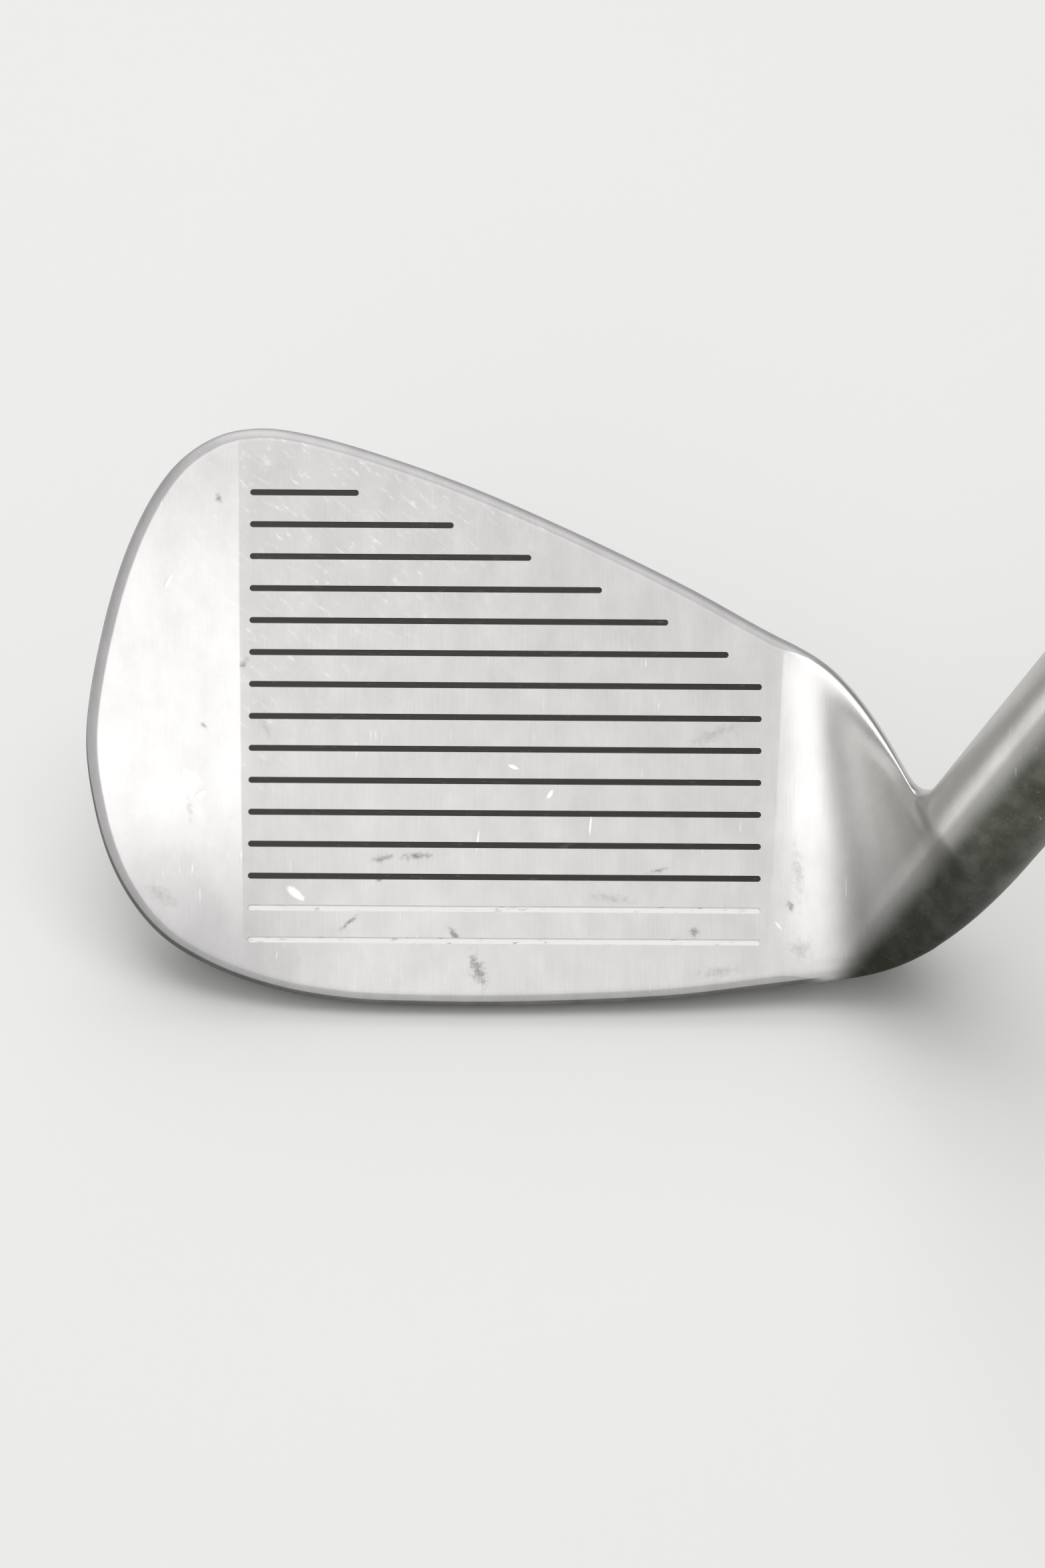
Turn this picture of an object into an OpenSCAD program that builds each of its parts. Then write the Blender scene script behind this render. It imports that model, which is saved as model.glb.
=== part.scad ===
// Iron golf club: a cast steel head on a stepped steel shaft, with a ferrule, a bonded
// hosel joint, a glued cavity badge and a slip-on rubber grip.
//
// The club stands soled on the ground plane z = 0 with its true loft and lie.
// +X runs from the toe to the heel, -Y is the way the face looks, +Z is up.
// The origin is the point where the sole touches the ground under the middle of the score lines.
// All sizes are millimetres and degrees.

/* [Club] */
// Length along the shaft axis, from the ground to the end of the grip cap
club_len = 914; // [765:1:1120]
// Angle of the face to the vertical
loft = 43; // [30:0.5:50]
// Angle of the shaft to the ground
lie = 63.5; // [60:0.5:66]

/* [Head] */
// Height of the blade along the face, at its highest point
toe_height = 63.9; // [52:0.1:78]
// Distance from the middle of the score lines to the end of the toe
toe_reach = 46.4; // [38:0.1:56]
// Distance from the middle of the score lines to where the flat face ends at the heel
heel_reach = 30; // [28:0.1:36]
// Thickness of the blade at its topline
topline_t = 5.6; // [4:0.1:8]
// Width of the sole from front to back
sole_w = 19; // [14:0.1:24]
// Depth of the belly of the sole below its two edges
sole_belly = 1.3; // [0.8:0.1:2]
// Radius along the topline and toe, where the face turns into the edge
edge_r = 1.3; // [0.8:0.1:2]
// Radius of the leading edge
lead_r = 2.4; // [1.6:0.1:3.2]
// Radius of the rear edges
rear_r = 1.5; // [1:0.1:2.2]
// Thickness of the uncut blade at its middle
mid_t = 9; // [7:0.1:12]
// Distance from the end of the flat face to the shaft axis, along the ground
heel_to_axis = 9.1; // [7:0.1:12]
// How far the front of the hosel stands ahead of the leading edge
hosel_offset = 3; // [0:0.1:6]
// Outside diameter of the hosel
hosel_d = 13; // [12.2:0.1:15.6]
// Length of the hosel along the shaft axis, from the ground
hosel_len = 64; // [56:0.5:77]
// Depth of the shaft bore
bore_depth = 32; // [26:0.5:38]

/* [Score lines] */
// Number of score lines that the face is laid out for
line_count = 15; // [10:1:18]
// Number of low lines with light paint
light_lines = 2; // [0:1:4]
// Distance between the score lines
line_pitch = 3.55; // [2.9:0.05:4.3]
// Height of the lowest line along the face
line_first = 7.2; // [6:0.1:9]
// Length of a full line
line_len = 57; // [44:0.5:58]
// Width of a line
line_w = 0.68; // [0.5:0.01:0.9]
// Depth of a line
line_depth = 0.45; // [0.3:0.01:0.5]
// Distance from the end of a short line up to the topline
line_margin = 4.9; // [3.5:0.1:7]
// Depth of the paint below the face
paint_sink = 0.12; // [0.05:0.01:0.2]

/* [Cavity] */
// Width of the rim around the cavity
rim_w = 6.5; // [5:0.1:8]
// Height of the ledge under the cavity, along the face
ledge_v = 24; // [20:0.1:30]
// Distance from the middle of the score lines to the heel end of the cavity
cavity_heel = 20; // [14:0.1:24]
// Thickness of the face plate in the cavity
face_t = 3; // [2.2:0.1:3.8]
// Thickness of the badge
badge_t = 1.4; // [0.8:0.1:2]
// Thickness of the foam tape under the badge
badge_tape_t = 0.6; // [0.4:0.1:1]
// Gap between the badge and the cavity wall
badge_gap = 1.6; // [1:0.1:3]

/* [Shaft] */
// Outside diameter of the shaft's parallel tip
tip_d = 9.4; // [7.8:0.05:11.3]
// Outside diameter of the shaft's butt
butt_d = 15.2; // [12.6:0.05:18.3]
// Wall of the shaft
shaft_wall = 0.45; // [0.35:0.01:0.6]
// Length of the plain butt section
butt_len = 278; // [260:1:320]
// Number of steps
step_count = 14; // [10:1:18]
// Distance between the steps
step_pitch = 30; // [22:0.5:34]
// Length of the little cone at each step
step_cone = 1.2; // [0.6:0.1:2]
// Thickness of the glue around the shaft tip
glue_t = 0.1; // [0.05:0.01:0.2]
// Length of the tip weight's stem
weight_len = 14; // [8:0.5:20]
// Thickness of the tip weight's head
weight_head = 2; // [1.5:0.1:3]
// Thickness of the band label
band_t = 0.12; // [0.08:0.01:0.2]
// Length of the band label
band_len = 24; // [15:0.5:26]

/* [Ferrule] */
// Length of the ferrule
ferrule_len = 22; // [16:0.5:28]
// Wall of the ferrule at its thin end
ferrule_lip = 0.5; // [0.4:0.05:0.8]
// Length of the ferrule's straight foot
ferrule_foot = 4; // [2:0.5:6]

/* [Grip] */
// Length of the grip sleeve
grip_len = 262; // [220:1:270]
// Wall of the grip below the cap
grip_butt_wall = 5.5; // [3.5:0.1:7]
// Wall of the grip at its mouth
grip_mouth_wall = 1.5; // [1.2:0.1:2.5]
// How far the cap stands out around the grip
cap_lip = 1.5; // [0.5:0.1:2.5]
// Thickness of the cap
cap_t = 4.2; // [3:0.1:6]
// Diameter of the vent hole
vent_d = 3; // [2:0.1:4]
// Thickness of the tape under the grip
tape_t = 0.2; // [0.1:0.05:0.4]
// Depth of the paint grooves in the grip
grip_line_depth = 0.5; // [0.3:0.05:0.6]
// Width of the paint grooves in the grip
grip_line_w = 1.6; // [1:0.1:2.5]

/* [Hidden] */
$fn = 96;

steel = [0.74, 0.74, 0.75];

// ---- Curves ----
function mix(a, b, t) = a + (b - a) * t;
function ease(t) = t <= 0 ? 0 : t >= 1 ? 1 : t * t * (3 - 2 * t);
function unit(v) = v / norm(v);
function pick(list, i) = list[max(0, min(len(list) - 1, i))];

// Catmull-Rom curve through the nodes, with a number of steps for each span.
function cubic(a, b, c, d, t) = b + (c - a) * (t / 2)
    + (2 * a - 5 * b + 4 * c - d) * (t * t / 2) + (3 * b - a - 3 * c + d) * (t * t * t / 2);
function smooth_line(nodes, steps) = concat(
    [for (i = [0:len(nodes) - 2]) for (s = [0:steps - 1])
        cubic(pick(nodes, i - 1), nodes[i], nodes[i + 1], pick(nodes, i + 2), s / steps)],
    [nodes[len(nodes) - 1]]);
function corner(a, b, c, t) = mix(mix(a, b, t), mix(b, c, t), t);

// ---- Blade outline, seen square to the face ----
// Each rib joins a point of the topline to a point of the sole. A point is
// [share of the reach, share of the toe height]. Reaches below 0 are toe reaches.
toe_node = [-1, 0.48];
rib_nodes = [
    [[-0.96, 0.66], [-0.98, 0.34]],
    [[-0.895, 0.81], [-0.925, 0.22]],
    [[-0.81, 0.92], [-0.83, 0.125]],
    [[-0.71, 0.98], [-0.70, 0.065]],
    [[-0.60, 1.00], [-0.54, 0.025]],
    [[-0.475, 0.99], [-0.37, 0.005]],
    [[-0.30, 0.955], [-0.19, 0]],
    [[-0.085, 0.90], [0, 0]],
    [[0.265, 0.82], [0.33, 0.005]],
    [[0.665, 0.73], [0.665, 0.015]],
    [[1, 0.645], [1, 0.035]]];
toe_ribs = 6;
blade_ribs = len(rib_nodes);
rib_steps = 4;

function on_blade(p) = [p.x * (p.x < 0 ? toe_reach : heel_reach), p.y * toe_height];

// ---- Hosel axis, in the face frame (u to the heel, v up the face, n out of the face) ----
hosel_r = hosel_d / 2;
// How far the leading edge stands ahead of the foot of the face
lead_ahead = 0.8;
axis_back = hosel_r + lead_ahead - hosel_offset;
axis_u = heel_reach + heel_to_axis;
axis_dir = [cos(lie), sin(lie) * cos(loft), sin(lie) * sin(loft)];
axis_foot = [axis_u, axis_back * sin(loft), -axis_back * cos(loft)];
front_dir = [0, -sin(loft), cos(loft)];
toe_dir = [-sin(lie), cos(lie) * cos(loft), cos(lie) * sin(loft)];
function ring_point(t, angle, r) = axis_foot + axis_dir * t
    + (front_dir * cos(angle) + toe_dir * sin(angle)) * r;

// ---- Neck: it turns the edges of the blade round into the hosel ----
// The topline's points are shares of the way from its end to the crotch, and the leading
// edge's points are distances from its end.
// The neck is round from neck_t up the shaft axis, and its rings are drawn back by up to neck_run.
neck_t = 27;
neck_run = 16;
neck_top_shares = [[0.46, 0.17], [0.80, 0.43], [1, 0.72], [1.06, 1]];
neck_low_steps = [[5.4, 0.6], [10.2, 0.6], [14, 1], [17.5, 3]];
neck_delay = 1.25;
neck_ribs = 26;

face_end = [for (side = [0, 1]) on_blade(rib_nodes[blade_ribs - 1][side])];
before_end = [for (side = [0, 1]) on_blade(rib_nodes[blade_ribs - 2][side])];
crotch = ring_point(neck_t, 90, hosel_r);
to_crotch = [crotch.x, crotch.y] - face_end[0];
neck_paths = [
    concat([before_end[0], face_end[0]],
        [for (share = neck_top_shares) face_end[0] + [to_crotch.x * share.x, to_crotch.y * share.y]]),
    concat([before_end[1], face_end[1]], [for (step = neck_low_steps) face_end[1] + step])];

outline_nodes = concat(
    [for (i = [blade_ribs - 1:-1:0]) on_blade(rib_nodes[i][0])], [on_blade(toe_node)],
    [for (i = [0:blade_ribs - 1]) on_blade(rib_nodes[i][1])]);
long_outline = smooth_line(concat([neck_paths[0][2]], outline_nodes, [neck_paths[1][2]]), rib_steps);
outline = [for (i = [rib_steps:len(long_outline) - 1 - rib_steps]) long_outline[i]];
outline_mid = (len(outline) - 1) / 2;
function outline_normal(i) = let (d = unit(pick(outline, i + 1) - pick(outline, i - 1))) [-d.y, d.x];

// ---- Section across the edge of the blade ----
// q runs from 0 at the topline to 1 at the sole. A section point is [distance in from the
// outline, height over the face].
toe_share = 0.36;
half_points = 20;
lead_steps = 4;
rear_steps = 3;
topline_belly = 0.2;
// Strips next to the edge curves, on the face and on the back, and the slope of the back's strip
face_strip = 1.2;
back_strip = 1.5;
back_slope = 0.1;
sole_rise = sole_w * sin(loft);
sole_depth = sole_w * cos(loft);
function edge_depth(q) = mix(topline_t, sole_depth, q);
function edge_inset(q) = sole_rise * q * q;
function edge_section(q) = let (
    front = [-lead_ahead * q, 0],
    rear = [edge_inset(q), -edge_depth(q)],
    along = unit(rear - front),
    belly = mix(front, rear, 0.5) + [along.y, -along.x] * 2 * mix(topline_belly, sole_belly, q),
    r1 = mix(edge_r, lead_r, q),
    face_side = [front.x + r1, 0],
    wall_front = front + unit(belly - front) * r1,
    wall_rear = rear - unit(rear - belly) * rear_r,
    back_side = rear + [rear_r, back_slope])
    concat([[face_side.x + face_strip, 0]],
        [for (s = [0:lead_steps]) corner(face_side, front, wall_front, s / lead_steps)],
        [for (s = [0.25, 0.5, 0.75]) corner(wall_front, belly, wall_rear, s)],
        [for (s = [0:rear_steps]) corner(wall_rear, rear, back_side, s / rear_steps)],
        [back_side + [back_strip, back_slope]]);

// One side of a rib, from its spine on the face, round the edge, to its spine on the back.
face_shares = [0, 0.45, 0.8];
back_shares = [0.27, 0.68, 0.9];
function half_rib(edge, inward, spine, q) = let (
    section = edge_section(q),
    placed = [for (p = section) concat(edge + inward * p.x, [p.y])],
    on_face = placed[0],
    on_back = placed[len(placed) - 1],
    face_spine = [spine.x, spine.y, 0],
    back_spine = [spine.x, spine.y, -mid_t])
    concat([for (s = face_shares) mix(face_spine, on_face, s)], placed,
        [for (s = back_shares) mix(on_back, back_spine, s)], [back_spine]);

// A ring drawn back down the hosel fans out round the crotch.
fan = 0.6;
function ring_half(t, side, back = 0) = [for (k = [0:half_points])
    let (angle = side * 180 * k / half_points)
    ring_point(t - back * (1 - fan * sin(angle)), angle, hosel_r)];

// ---- Ribs, each a pair of halves [topline side, sole side] ----
pole = [-0.43 * toe_reach, 0.49 * toe_height];
function blade_rib(i) = let (
    j = i / rib_steps,
    top = outline[outline_mid - i],
    low = outline[outline_mid + i],
    spine = j <= toe_ribs ? pole : mix(pole, (top + low) / 2, ease((j - toe_ribs) / 3)),
    turn = ease(j / toe_ribs))
    [half_rib(top, outline_normal(outline_mid - i), spine, toe_share * (1 - turn)),
     half_rib(low, outline_normal(outline_mid + i), spine, mix(toe_share, 1, turn))];

function path_point(path, s) = let (
    x = 1 + s * (len(path) - 2),
    i = min(floor(x), len(path) - 2))
    cubic(pick(path, i - 1), path[i], path[i + 1], pick(path, i + 2), x - i);
function path_way(path, s) = unit(path_point(path, s + 0.01) - path_point(path, s - 0.01));
function neck_rib(s) = let (
    top = path_point(neck_paths[0], s),
    low = path_point(neck_paths[1], s),
    top_way = path_way(neck_paths[0], s),
    low_way = path_way(neck_paths[1], s),
    spine = (top + low) / 2,
    halves = [half_rib(top, [top_way.y, -top_way.x], spine, 0),
              half_rib(low, [-low_way.y, low_way.x], spine, 1)],
    rings = [for (side = [1, -1]) ring_half(neck_t, side, neck_run * (1 - s))])
    [for (h = [0, 1]) [for (k = [0:half_points])
        mix(halves[h][k], rings[h][k], pow(ease(s), neck_delay))]];

ribs = concat(
    [for (i = [0:blade_ribs * rib_steps - 1]) blade_rib(i)],
    [for (i = [0:neck_ribs]) neck_rib(i / neck_ribs)],
    [for (t = [neck_t + 3, hosel_len]) [ring_half(t, 1), ring_half(t, -1)]]);

// ---- Skin: the ribs as closed loops, joined to each other and closed on top of the hosel ----
loop_points = 2 * half_points;
function rib_loop(rib) = concat([for (k = [0:half_points]) rib[0][k]],
    [for (k = [half_points - 1:-1:1]) rib[1][k]]);
loops = [for (r = ribs) rib_loop(r)];
skin_points = [for (l = loops) for (p = l) p];
function different(a, b, c) = norm(a - b) > 1e-6 && norm(b - c) > 1e-6 && norm(a - c) > 1e-6;
function tri(a, b, c) =
    different(skin_points[a], skin_points[b], skin_points[c]) ? [[a, b, c]] : [];
skin_faces = concat(
    [for (i = [0:len(loops) - 2]) for (k = [0:loop_points - 1]) let (
        a = i * loop_points + k,
        b = i * loop_points + (k + 1) % loop_points,
        c = a + loop_points,
        d = b + loop_points)
        each concat(tri(a, b, d), tri(a, d, c))],
    [[for (k = [0:loop_points - 1]) (len(loops) - 1) * loop_points + k]]);

// ---- Places of the face frame and the shaft in the ground frame ----
function height_over_foot(p) = p.y * cos(loft) + p.z * sin(loft);
function depth_behind_foot(p) = p.y * sin(loft) - p.z * cos(loft);
heights = [for (p = skin_points) height_over_foot(p)];
ground = min(heights);
rest_depth = depth_behind_foot(skin_points[search(ground, heights)[0]]);
module on_face() {
    translate([0, -rest_depth, -ground]) rotate([90 - loft, 0, 0]) children();
}
// The shaft frame has its z along the shaft, with z = 0 level with the foot of the face.
module on_shaft() {
    translate([axis_u, axis_back - rest_depth, -ground]) rotate([0, 90 - lie, 0]) children();
}
// How far a cutting shape stands out of what it cuts
cut = 1;

// ---- Score lines ----
topline = [for (i = [0:outline_mid]) outline[i]];
function topline_u(v, i = 0) = topline[i + 1].y >= v
    ? mix(topline[i].x, topline[i + 1].x, (v - topline[i].y) / (topline[i + 1].y - topline[i].y))
    : topline_u(v, i + 1);
line_start = -line_len / 2;
// A line that would be shorter than this is left out
shortest_line = 6;
function line_end(v) = v + line_margin <= topline[0].y ? -line_start
    : v + line_margin >= toe_height ? line_start
    : min(-line_start, topline_u(v + line_margin));
line_heights = [for (i = [0:line_count - 1]) line_first + i * line_pitch];
lines = [for (v = line_heights) if (line_end(v) > line_start + shortest_line) [v, line_end(v)]];

module line_slot(line, low, high) {
    r = line_w / 2;
    translate([line_start + r, line.x - r, low]) cube([line.y - line_start - line_w, line_w, high - low]);
    for (u = [line_start + r, line.y - r])
        translate([u, line.x, low]) cylinder(r = r, h = high - low);
}
module line_paint(first, last) {
    on_face() for (i = [first:last]) line_slot(lines[i], -line_depth, -paint_sink);
}

// ---- Cavity, a pocket in the back of the blade ----
// Radius of the cavity's corners
cavity_corner = 4;
module cavity_shape(inset) {
    offset(r = cavity_corner, $fn = 32) offset(delta = -cavity_corner - inset) intersection() {
        offset(delta = -rim_w) polygon(outline);
        translate([-2 * toe_reach, ledge_v]) square([2 * toe_reach + cavity_heel, 2 * toe_height]);
    }
}
badge_low = -face_t - badge_tape_t;

module clubhead() {
    bore_r = tip_d / 2 + glue_t;
    color(steel) difference() {
        on_face() difference() {
            polyhedron(skin_points, skin_faces);
            for (line = lines) line_slot(line, -line_depth, cut);
            translate([0, 0, -4 * mid_t]) linear_extrude(4 * mid_t - face_t) cavity_shape(0);
        }
        on_shaft() translate([0, 0, hosel_len - bore_depth]) cylinder(r = bore_r, h = bore_depth + cut);
    }
}

module score_line_paint_dark() {
    color([0.06, 0.06, 0.07]) line_paint(light_lines, len(lines) - 1);
}

module score_line_paint_light() {
    color([0.9, 0.9, 0.86]) line_paint(0, light_lines - 1);
}

module badge_tape() {
    color([0.2, 0.2, 0.2]) on_face() translate([0, 0, badge_low])
        linear_extrude(badge_tape_t) cavity_shape(badge_gap);
}

// A plain plate with grooves along the lower part of its outer side.
module cavity_badge() {
    groove_count = 3;
    groove_w = 2.2;
    groove_pitch = 5;
    groove_depth = badge_t / 3;
    color([0.16, 0.17, 0.19]) on_face() translate([0, 0, badge_low - badge_t]) difference() {
        linear_extrude(badge_t) cavity_shape(badge_gap);
        for (i = [0:groove_count - 1])
            translate([-toe_reach, ledge_v + cavity_corner + i * groove_pitch, -cut])
                cube([2 * toe_reach, groove_w, groove_depth + cut]);
    }
}

// ---- Shaft ----
club_top = club_len + ground / sin(lie);
shaft_top = club_top - cap_t;
shaft_foot = hosel_len - bore_depth + weight_head;
butt_foot = shaft_top - butt_len;
step_d = (butt_d - tip_d) / step_count;
function step_z(k) = butt_foot - k * step_pitch;
function step_r(k) = (butt_d - k * step_d) / 2;
shaft_profile = concat([[butt_d / 2, shaft_top]],
    [for (k = [0:step_count - 1]) each [[step_r(k), step_z(k)], [step_r(k + 1), step_z(k) - step_cone]]],
    [[tip_d / 2, shaft_foot]]);
module tube(profile, wall) {
    rotate_extrude() polygon(concat(profile,
        [for (i = [len(profile) - 1:-1:0]) profile[i] - [wall, 0]]));
}
module ring(r, wall, low, high) {
    tube([[r, low], [r, high]], wall);
}

module shaft() {
    color([0.8, 0.8, 0.82]) on_shaft() tube(shaft_profile, shaft_wall);
}

module hosel_glue() {
    color([0.75, 0.65, 0.35]) on_shaft()
        ring(tip_d / 2 + glue_t, glue_t, hosel_len - bore_depth, hosel_len);
}

module tip_weight() {
    color([0.72, 0.6, 0.3]) on_shaft() {
        translate([0, 0, hosel_len - bore_depth]) cylinder(d = tip_d, h = weight_head);
        translate([0, 0, shaft_foot]) cylinder(r = tip_d / 2 - shaft_wall, h = weight_len);
    }
}

module shaft_band() {
    band_step = 3;
    band_mid = step_z(band_step) + (step_pitch - step_cone) / 2;
    color([0.1, 0.1, 0.12]) on_shaft()
        ring(step_r(band_step) + band_t, band_t, band_mid - band_len / 2, band_mid + band_len / 2);
}

// ---- Ferrule, a collar that runs from the hosel's diameter down to the shaft's ----
module ferrule() {
    curve_steps = 12;
    lip_r = tip_d / 2 + ferrule_lip;
    foot_top = hosel_len + ferrule_foot;
    taper = [for (s = [0:curve_steps]) [mix(hosel_r, lip_r, sin(90 * s / curve_steps)),
        foot_top + (ferrule_len - ferrule_foot) * s / curve_steps]];
    color([0.05, 0.05, 0.05]) on_shaft() rotate_extrude() polygon(concat(
        [[tip_d / 2, hosel_len], [hosel_r, hosel_len]], taper, [[tip_d / 2, hosel_len + ferrule_len]]));
}

// ---- Grip ----
grip_foot = shaft_top - grip_len;
grip_bore_r = butt_d / 2 + tape_t;
grip_mouth_r = grip_bore_r + grip_mouth_wall;
grip_butt_r = grip_bore_r + grip_butt_wall;
cap_r = grip_butt_r + cap_lip;
// Above 1, the grip stays slim at its mouth and swells towards the butt
grip_swell = 1.3;
function grip_r(z) = mix(grip_mouth_r, grip_butt_r, pow((z - grip_foot) / grip_len, grip_swell));
// Heights of the painted grooves over the mouth of the grip
ring_places = [6, 232, 237];
// Length of the grip's mouth that has no tape under it
tape_inset = 3;

module grip_tape() {
    color([0.85, 0.8, 0.65]) on_shaft() ring(grip_bore_r, tape_t, grip_foot + tape_inset, shaft_top);
}

module grip_paint() {
    color([0.9, 0.9, 0.9]) on_shaft() for (place = ring_places) let (z = grip_foot + place)
        rotate_extrude() polygon([[grip_r(z) - grip_line_depth, z], [grip_r(z) - paint_sink, z],
            [grip_r(z + grip_line_w) - paint_sink, z + grip_line_w],
            [grip_r(z) - grip_line_depth, z + grip_line_w]]);
}

module grip() {
    mouth_round = 0.8;
    body_steps = 16;
    body = [for (s = [1:body_steps]) let (z = grip_foot + grip_len * s / body_steps) [grip_r(z), z]];
    color([0.1, 0.1, 0.1]) on_shaft() rotate_extrude() difference() {
        polygon(concat([[butt_d / 2, grip_foot], [grip_mouth_r - mouth_round, grip_foot],
            [grip_r(grip_foot + mouth_round), grip_foot + mouth_round]], body,
            [[grip_bore_r, shaft_top], [grip_bore_r, grip_foot + tape_inset],
             [butt_d / 2, grip_foot + tape_inset]]));
        for (place = ring_places) let (z = grip_foot + place)
            translate([grip_r(z) - grip_line_depth, z]) square([grip_butt_r, grip_line_w]);
    }
}

module grip_cap() {
    rim = 1.4;
    rim_steps = 6;
    edge = [for (s = [0:rim_steps]) [cap_r - rim + rim * cos(90 * s / rim_steps),
        club_top - rim + rim * sin(90 * s / rim_steps)]];
    color([0.1, 0.1, 0.1]) on_shaft() rotate_extrude() polygon(concat([[vent_d / 2, shaft_top],
        [grip_butt_r, shaft_top], [cap_r, shaft_top + rim / 2]], edge,
        [[vent_d / 2, club_top]]));
}

clubhead();
score_line_paint_dark();
score_line_paint_light();
cavity_badge();
badge_tape();
ferrule();
hosel_glue();
tip_weight();
shaft();
shaft_band();
grip_tape();
grip();
grip_cap();
grip_paint();
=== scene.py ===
"""Iron golf club: the finished pieces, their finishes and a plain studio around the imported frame."""

from math import cos, pi, radians, sin

import bmesh
import bpy
from bpy.props import FloatProperty, FloatVectorProperty, IntProperty, PointerProperty, StringProperty
from mathutils import Matrix, Vector


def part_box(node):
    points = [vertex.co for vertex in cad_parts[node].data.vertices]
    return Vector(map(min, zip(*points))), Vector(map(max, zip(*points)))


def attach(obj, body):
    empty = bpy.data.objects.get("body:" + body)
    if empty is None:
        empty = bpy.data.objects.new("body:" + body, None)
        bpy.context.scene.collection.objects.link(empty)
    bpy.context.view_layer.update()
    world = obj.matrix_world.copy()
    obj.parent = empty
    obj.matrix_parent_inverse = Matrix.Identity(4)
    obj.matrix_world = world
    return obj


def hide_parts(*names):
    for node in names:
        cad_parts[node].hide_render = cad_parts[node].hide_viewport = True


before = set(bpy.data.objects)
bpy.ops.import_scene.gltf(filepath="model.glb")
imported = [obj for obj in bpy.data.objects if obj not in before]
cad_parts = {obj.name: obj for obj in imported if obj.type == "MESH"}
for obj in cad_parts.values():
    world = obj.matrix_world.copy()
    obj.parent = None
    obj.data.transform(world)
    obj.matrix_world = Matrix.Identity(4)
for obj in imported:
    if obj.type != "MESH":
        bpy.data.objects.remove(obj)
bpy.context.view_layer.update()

bl_info = {
    "name": "Iron golf club",
    "version": (1, 0, 0),
    "blender": (4, 5, 0),
    "location": "3D View > Sidebar > Iron",
    "description": "Builds the pieces and finishes of an iron golf club, and its stage",
    "category": "Object",
}

MM = 0.001


def size_mm(name, description, default, low=0.0, high=1500.0):
    """A size in millimetres."""
    return FloatProperty(name=name, description=description, default=default, min=low, max=high)


def angle_deg(name, description, degrees):
    """An angle, which is given in degrees and kept in radians."""
    return FloatProperty(name=name, description=description, default=radians(degrees), unit="ROTATION",
                         subtype="ANGLE")


def colour(name, description, default):
    """A colour as an sRGB hex value."""
    return StringProperty(name=name, description=description, default=default)


class IronHeadSettings(bpy.types.PropertyGroup):
    """Sizes of the cast head, in millimetres, and its angles."""

    loft: angle_deg("Loft", "Angle of the face to the vertical", 43)
    lie: angle_deg("Lie", "Angle of the shaft to the ground", 63.5)
    toe_height: size_mm("Toe height", "Height of the blade along the face", 63.9)
    toe_reach: size_mm("Toe reach", "Middle of the score lines to the end of the toe", 46.4)
    heel_reach: size_mm("Heel reach", "Middle of the score lines to the end of the flat face", 30)
    topline_t: size_mm("Topline", "Thickness of the blade at its topline", 5.6)
    sole_w: size_mm("Sole width", "Width of the sole from front to back", 19)
    sole_belly: size_mm("Sole belly", "Depth of the belly of the sole", 1.3)
    topline_belly: size_mm("Topline belly", "Depth of the belly of the topline", 0.2)
    edge_r: size_mm("Edge radius", "Radius along the topline and toe", 1.3)
    lead_r: size_mm("Leading edge radius", "Radius of the leading edge", 2.4)
    rear_r: size_mm("Rear radius", "Radius of the rear edges", 1.5)
    mid_t: size_mm("Middle", "Thickness of the uncut blade at its middle", 9)
    heel_to_axis: size_mm("Heel to axis", "End of the flat face to the shaft axis", 9.1)
    hosel_offset: size_mm("Offset", "How far the hosel stands ahead of the leading edge", 3)
    hosel_d: size_mm("Hosel", "Outside diameter of the hosel", 13)
    hosel_len: size_mm("Hosel length", "Length of the hosel from the ground", 64)
    bore_depth: size_mm("Bore depth", "Depth of the shaft bore", 32)
    bore_d: size_mm("Bore", "Diameter of the shaft bore", 9.6)
    neck_t: size_mm("Neck height", "Height up the shaft axis where the neck is round", 27)
    neck_run: size_mm("Neck run", "How far the neck's rings are drawn back", 16)
    line_pitch: size_mm("Line distance", "Distance between the score lines", 3.55)
    line_first: size_mm("First line", "Height of the lowest line along the face", 7.2)
    line_len: size_mm("Line length", "Length of a full line", 57)
    line_w: size_mm("Line width", "Width of a line", 0.68)
    line_depth: size_mm("Line depth", "Depth of a line", 0.45)
    line_margin: size_mm("Line margin", "End of a short line up to the topline", 4.9)
    line_count: IntProperty(name="Lines", description="Number of score lines", default=15)


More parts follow.
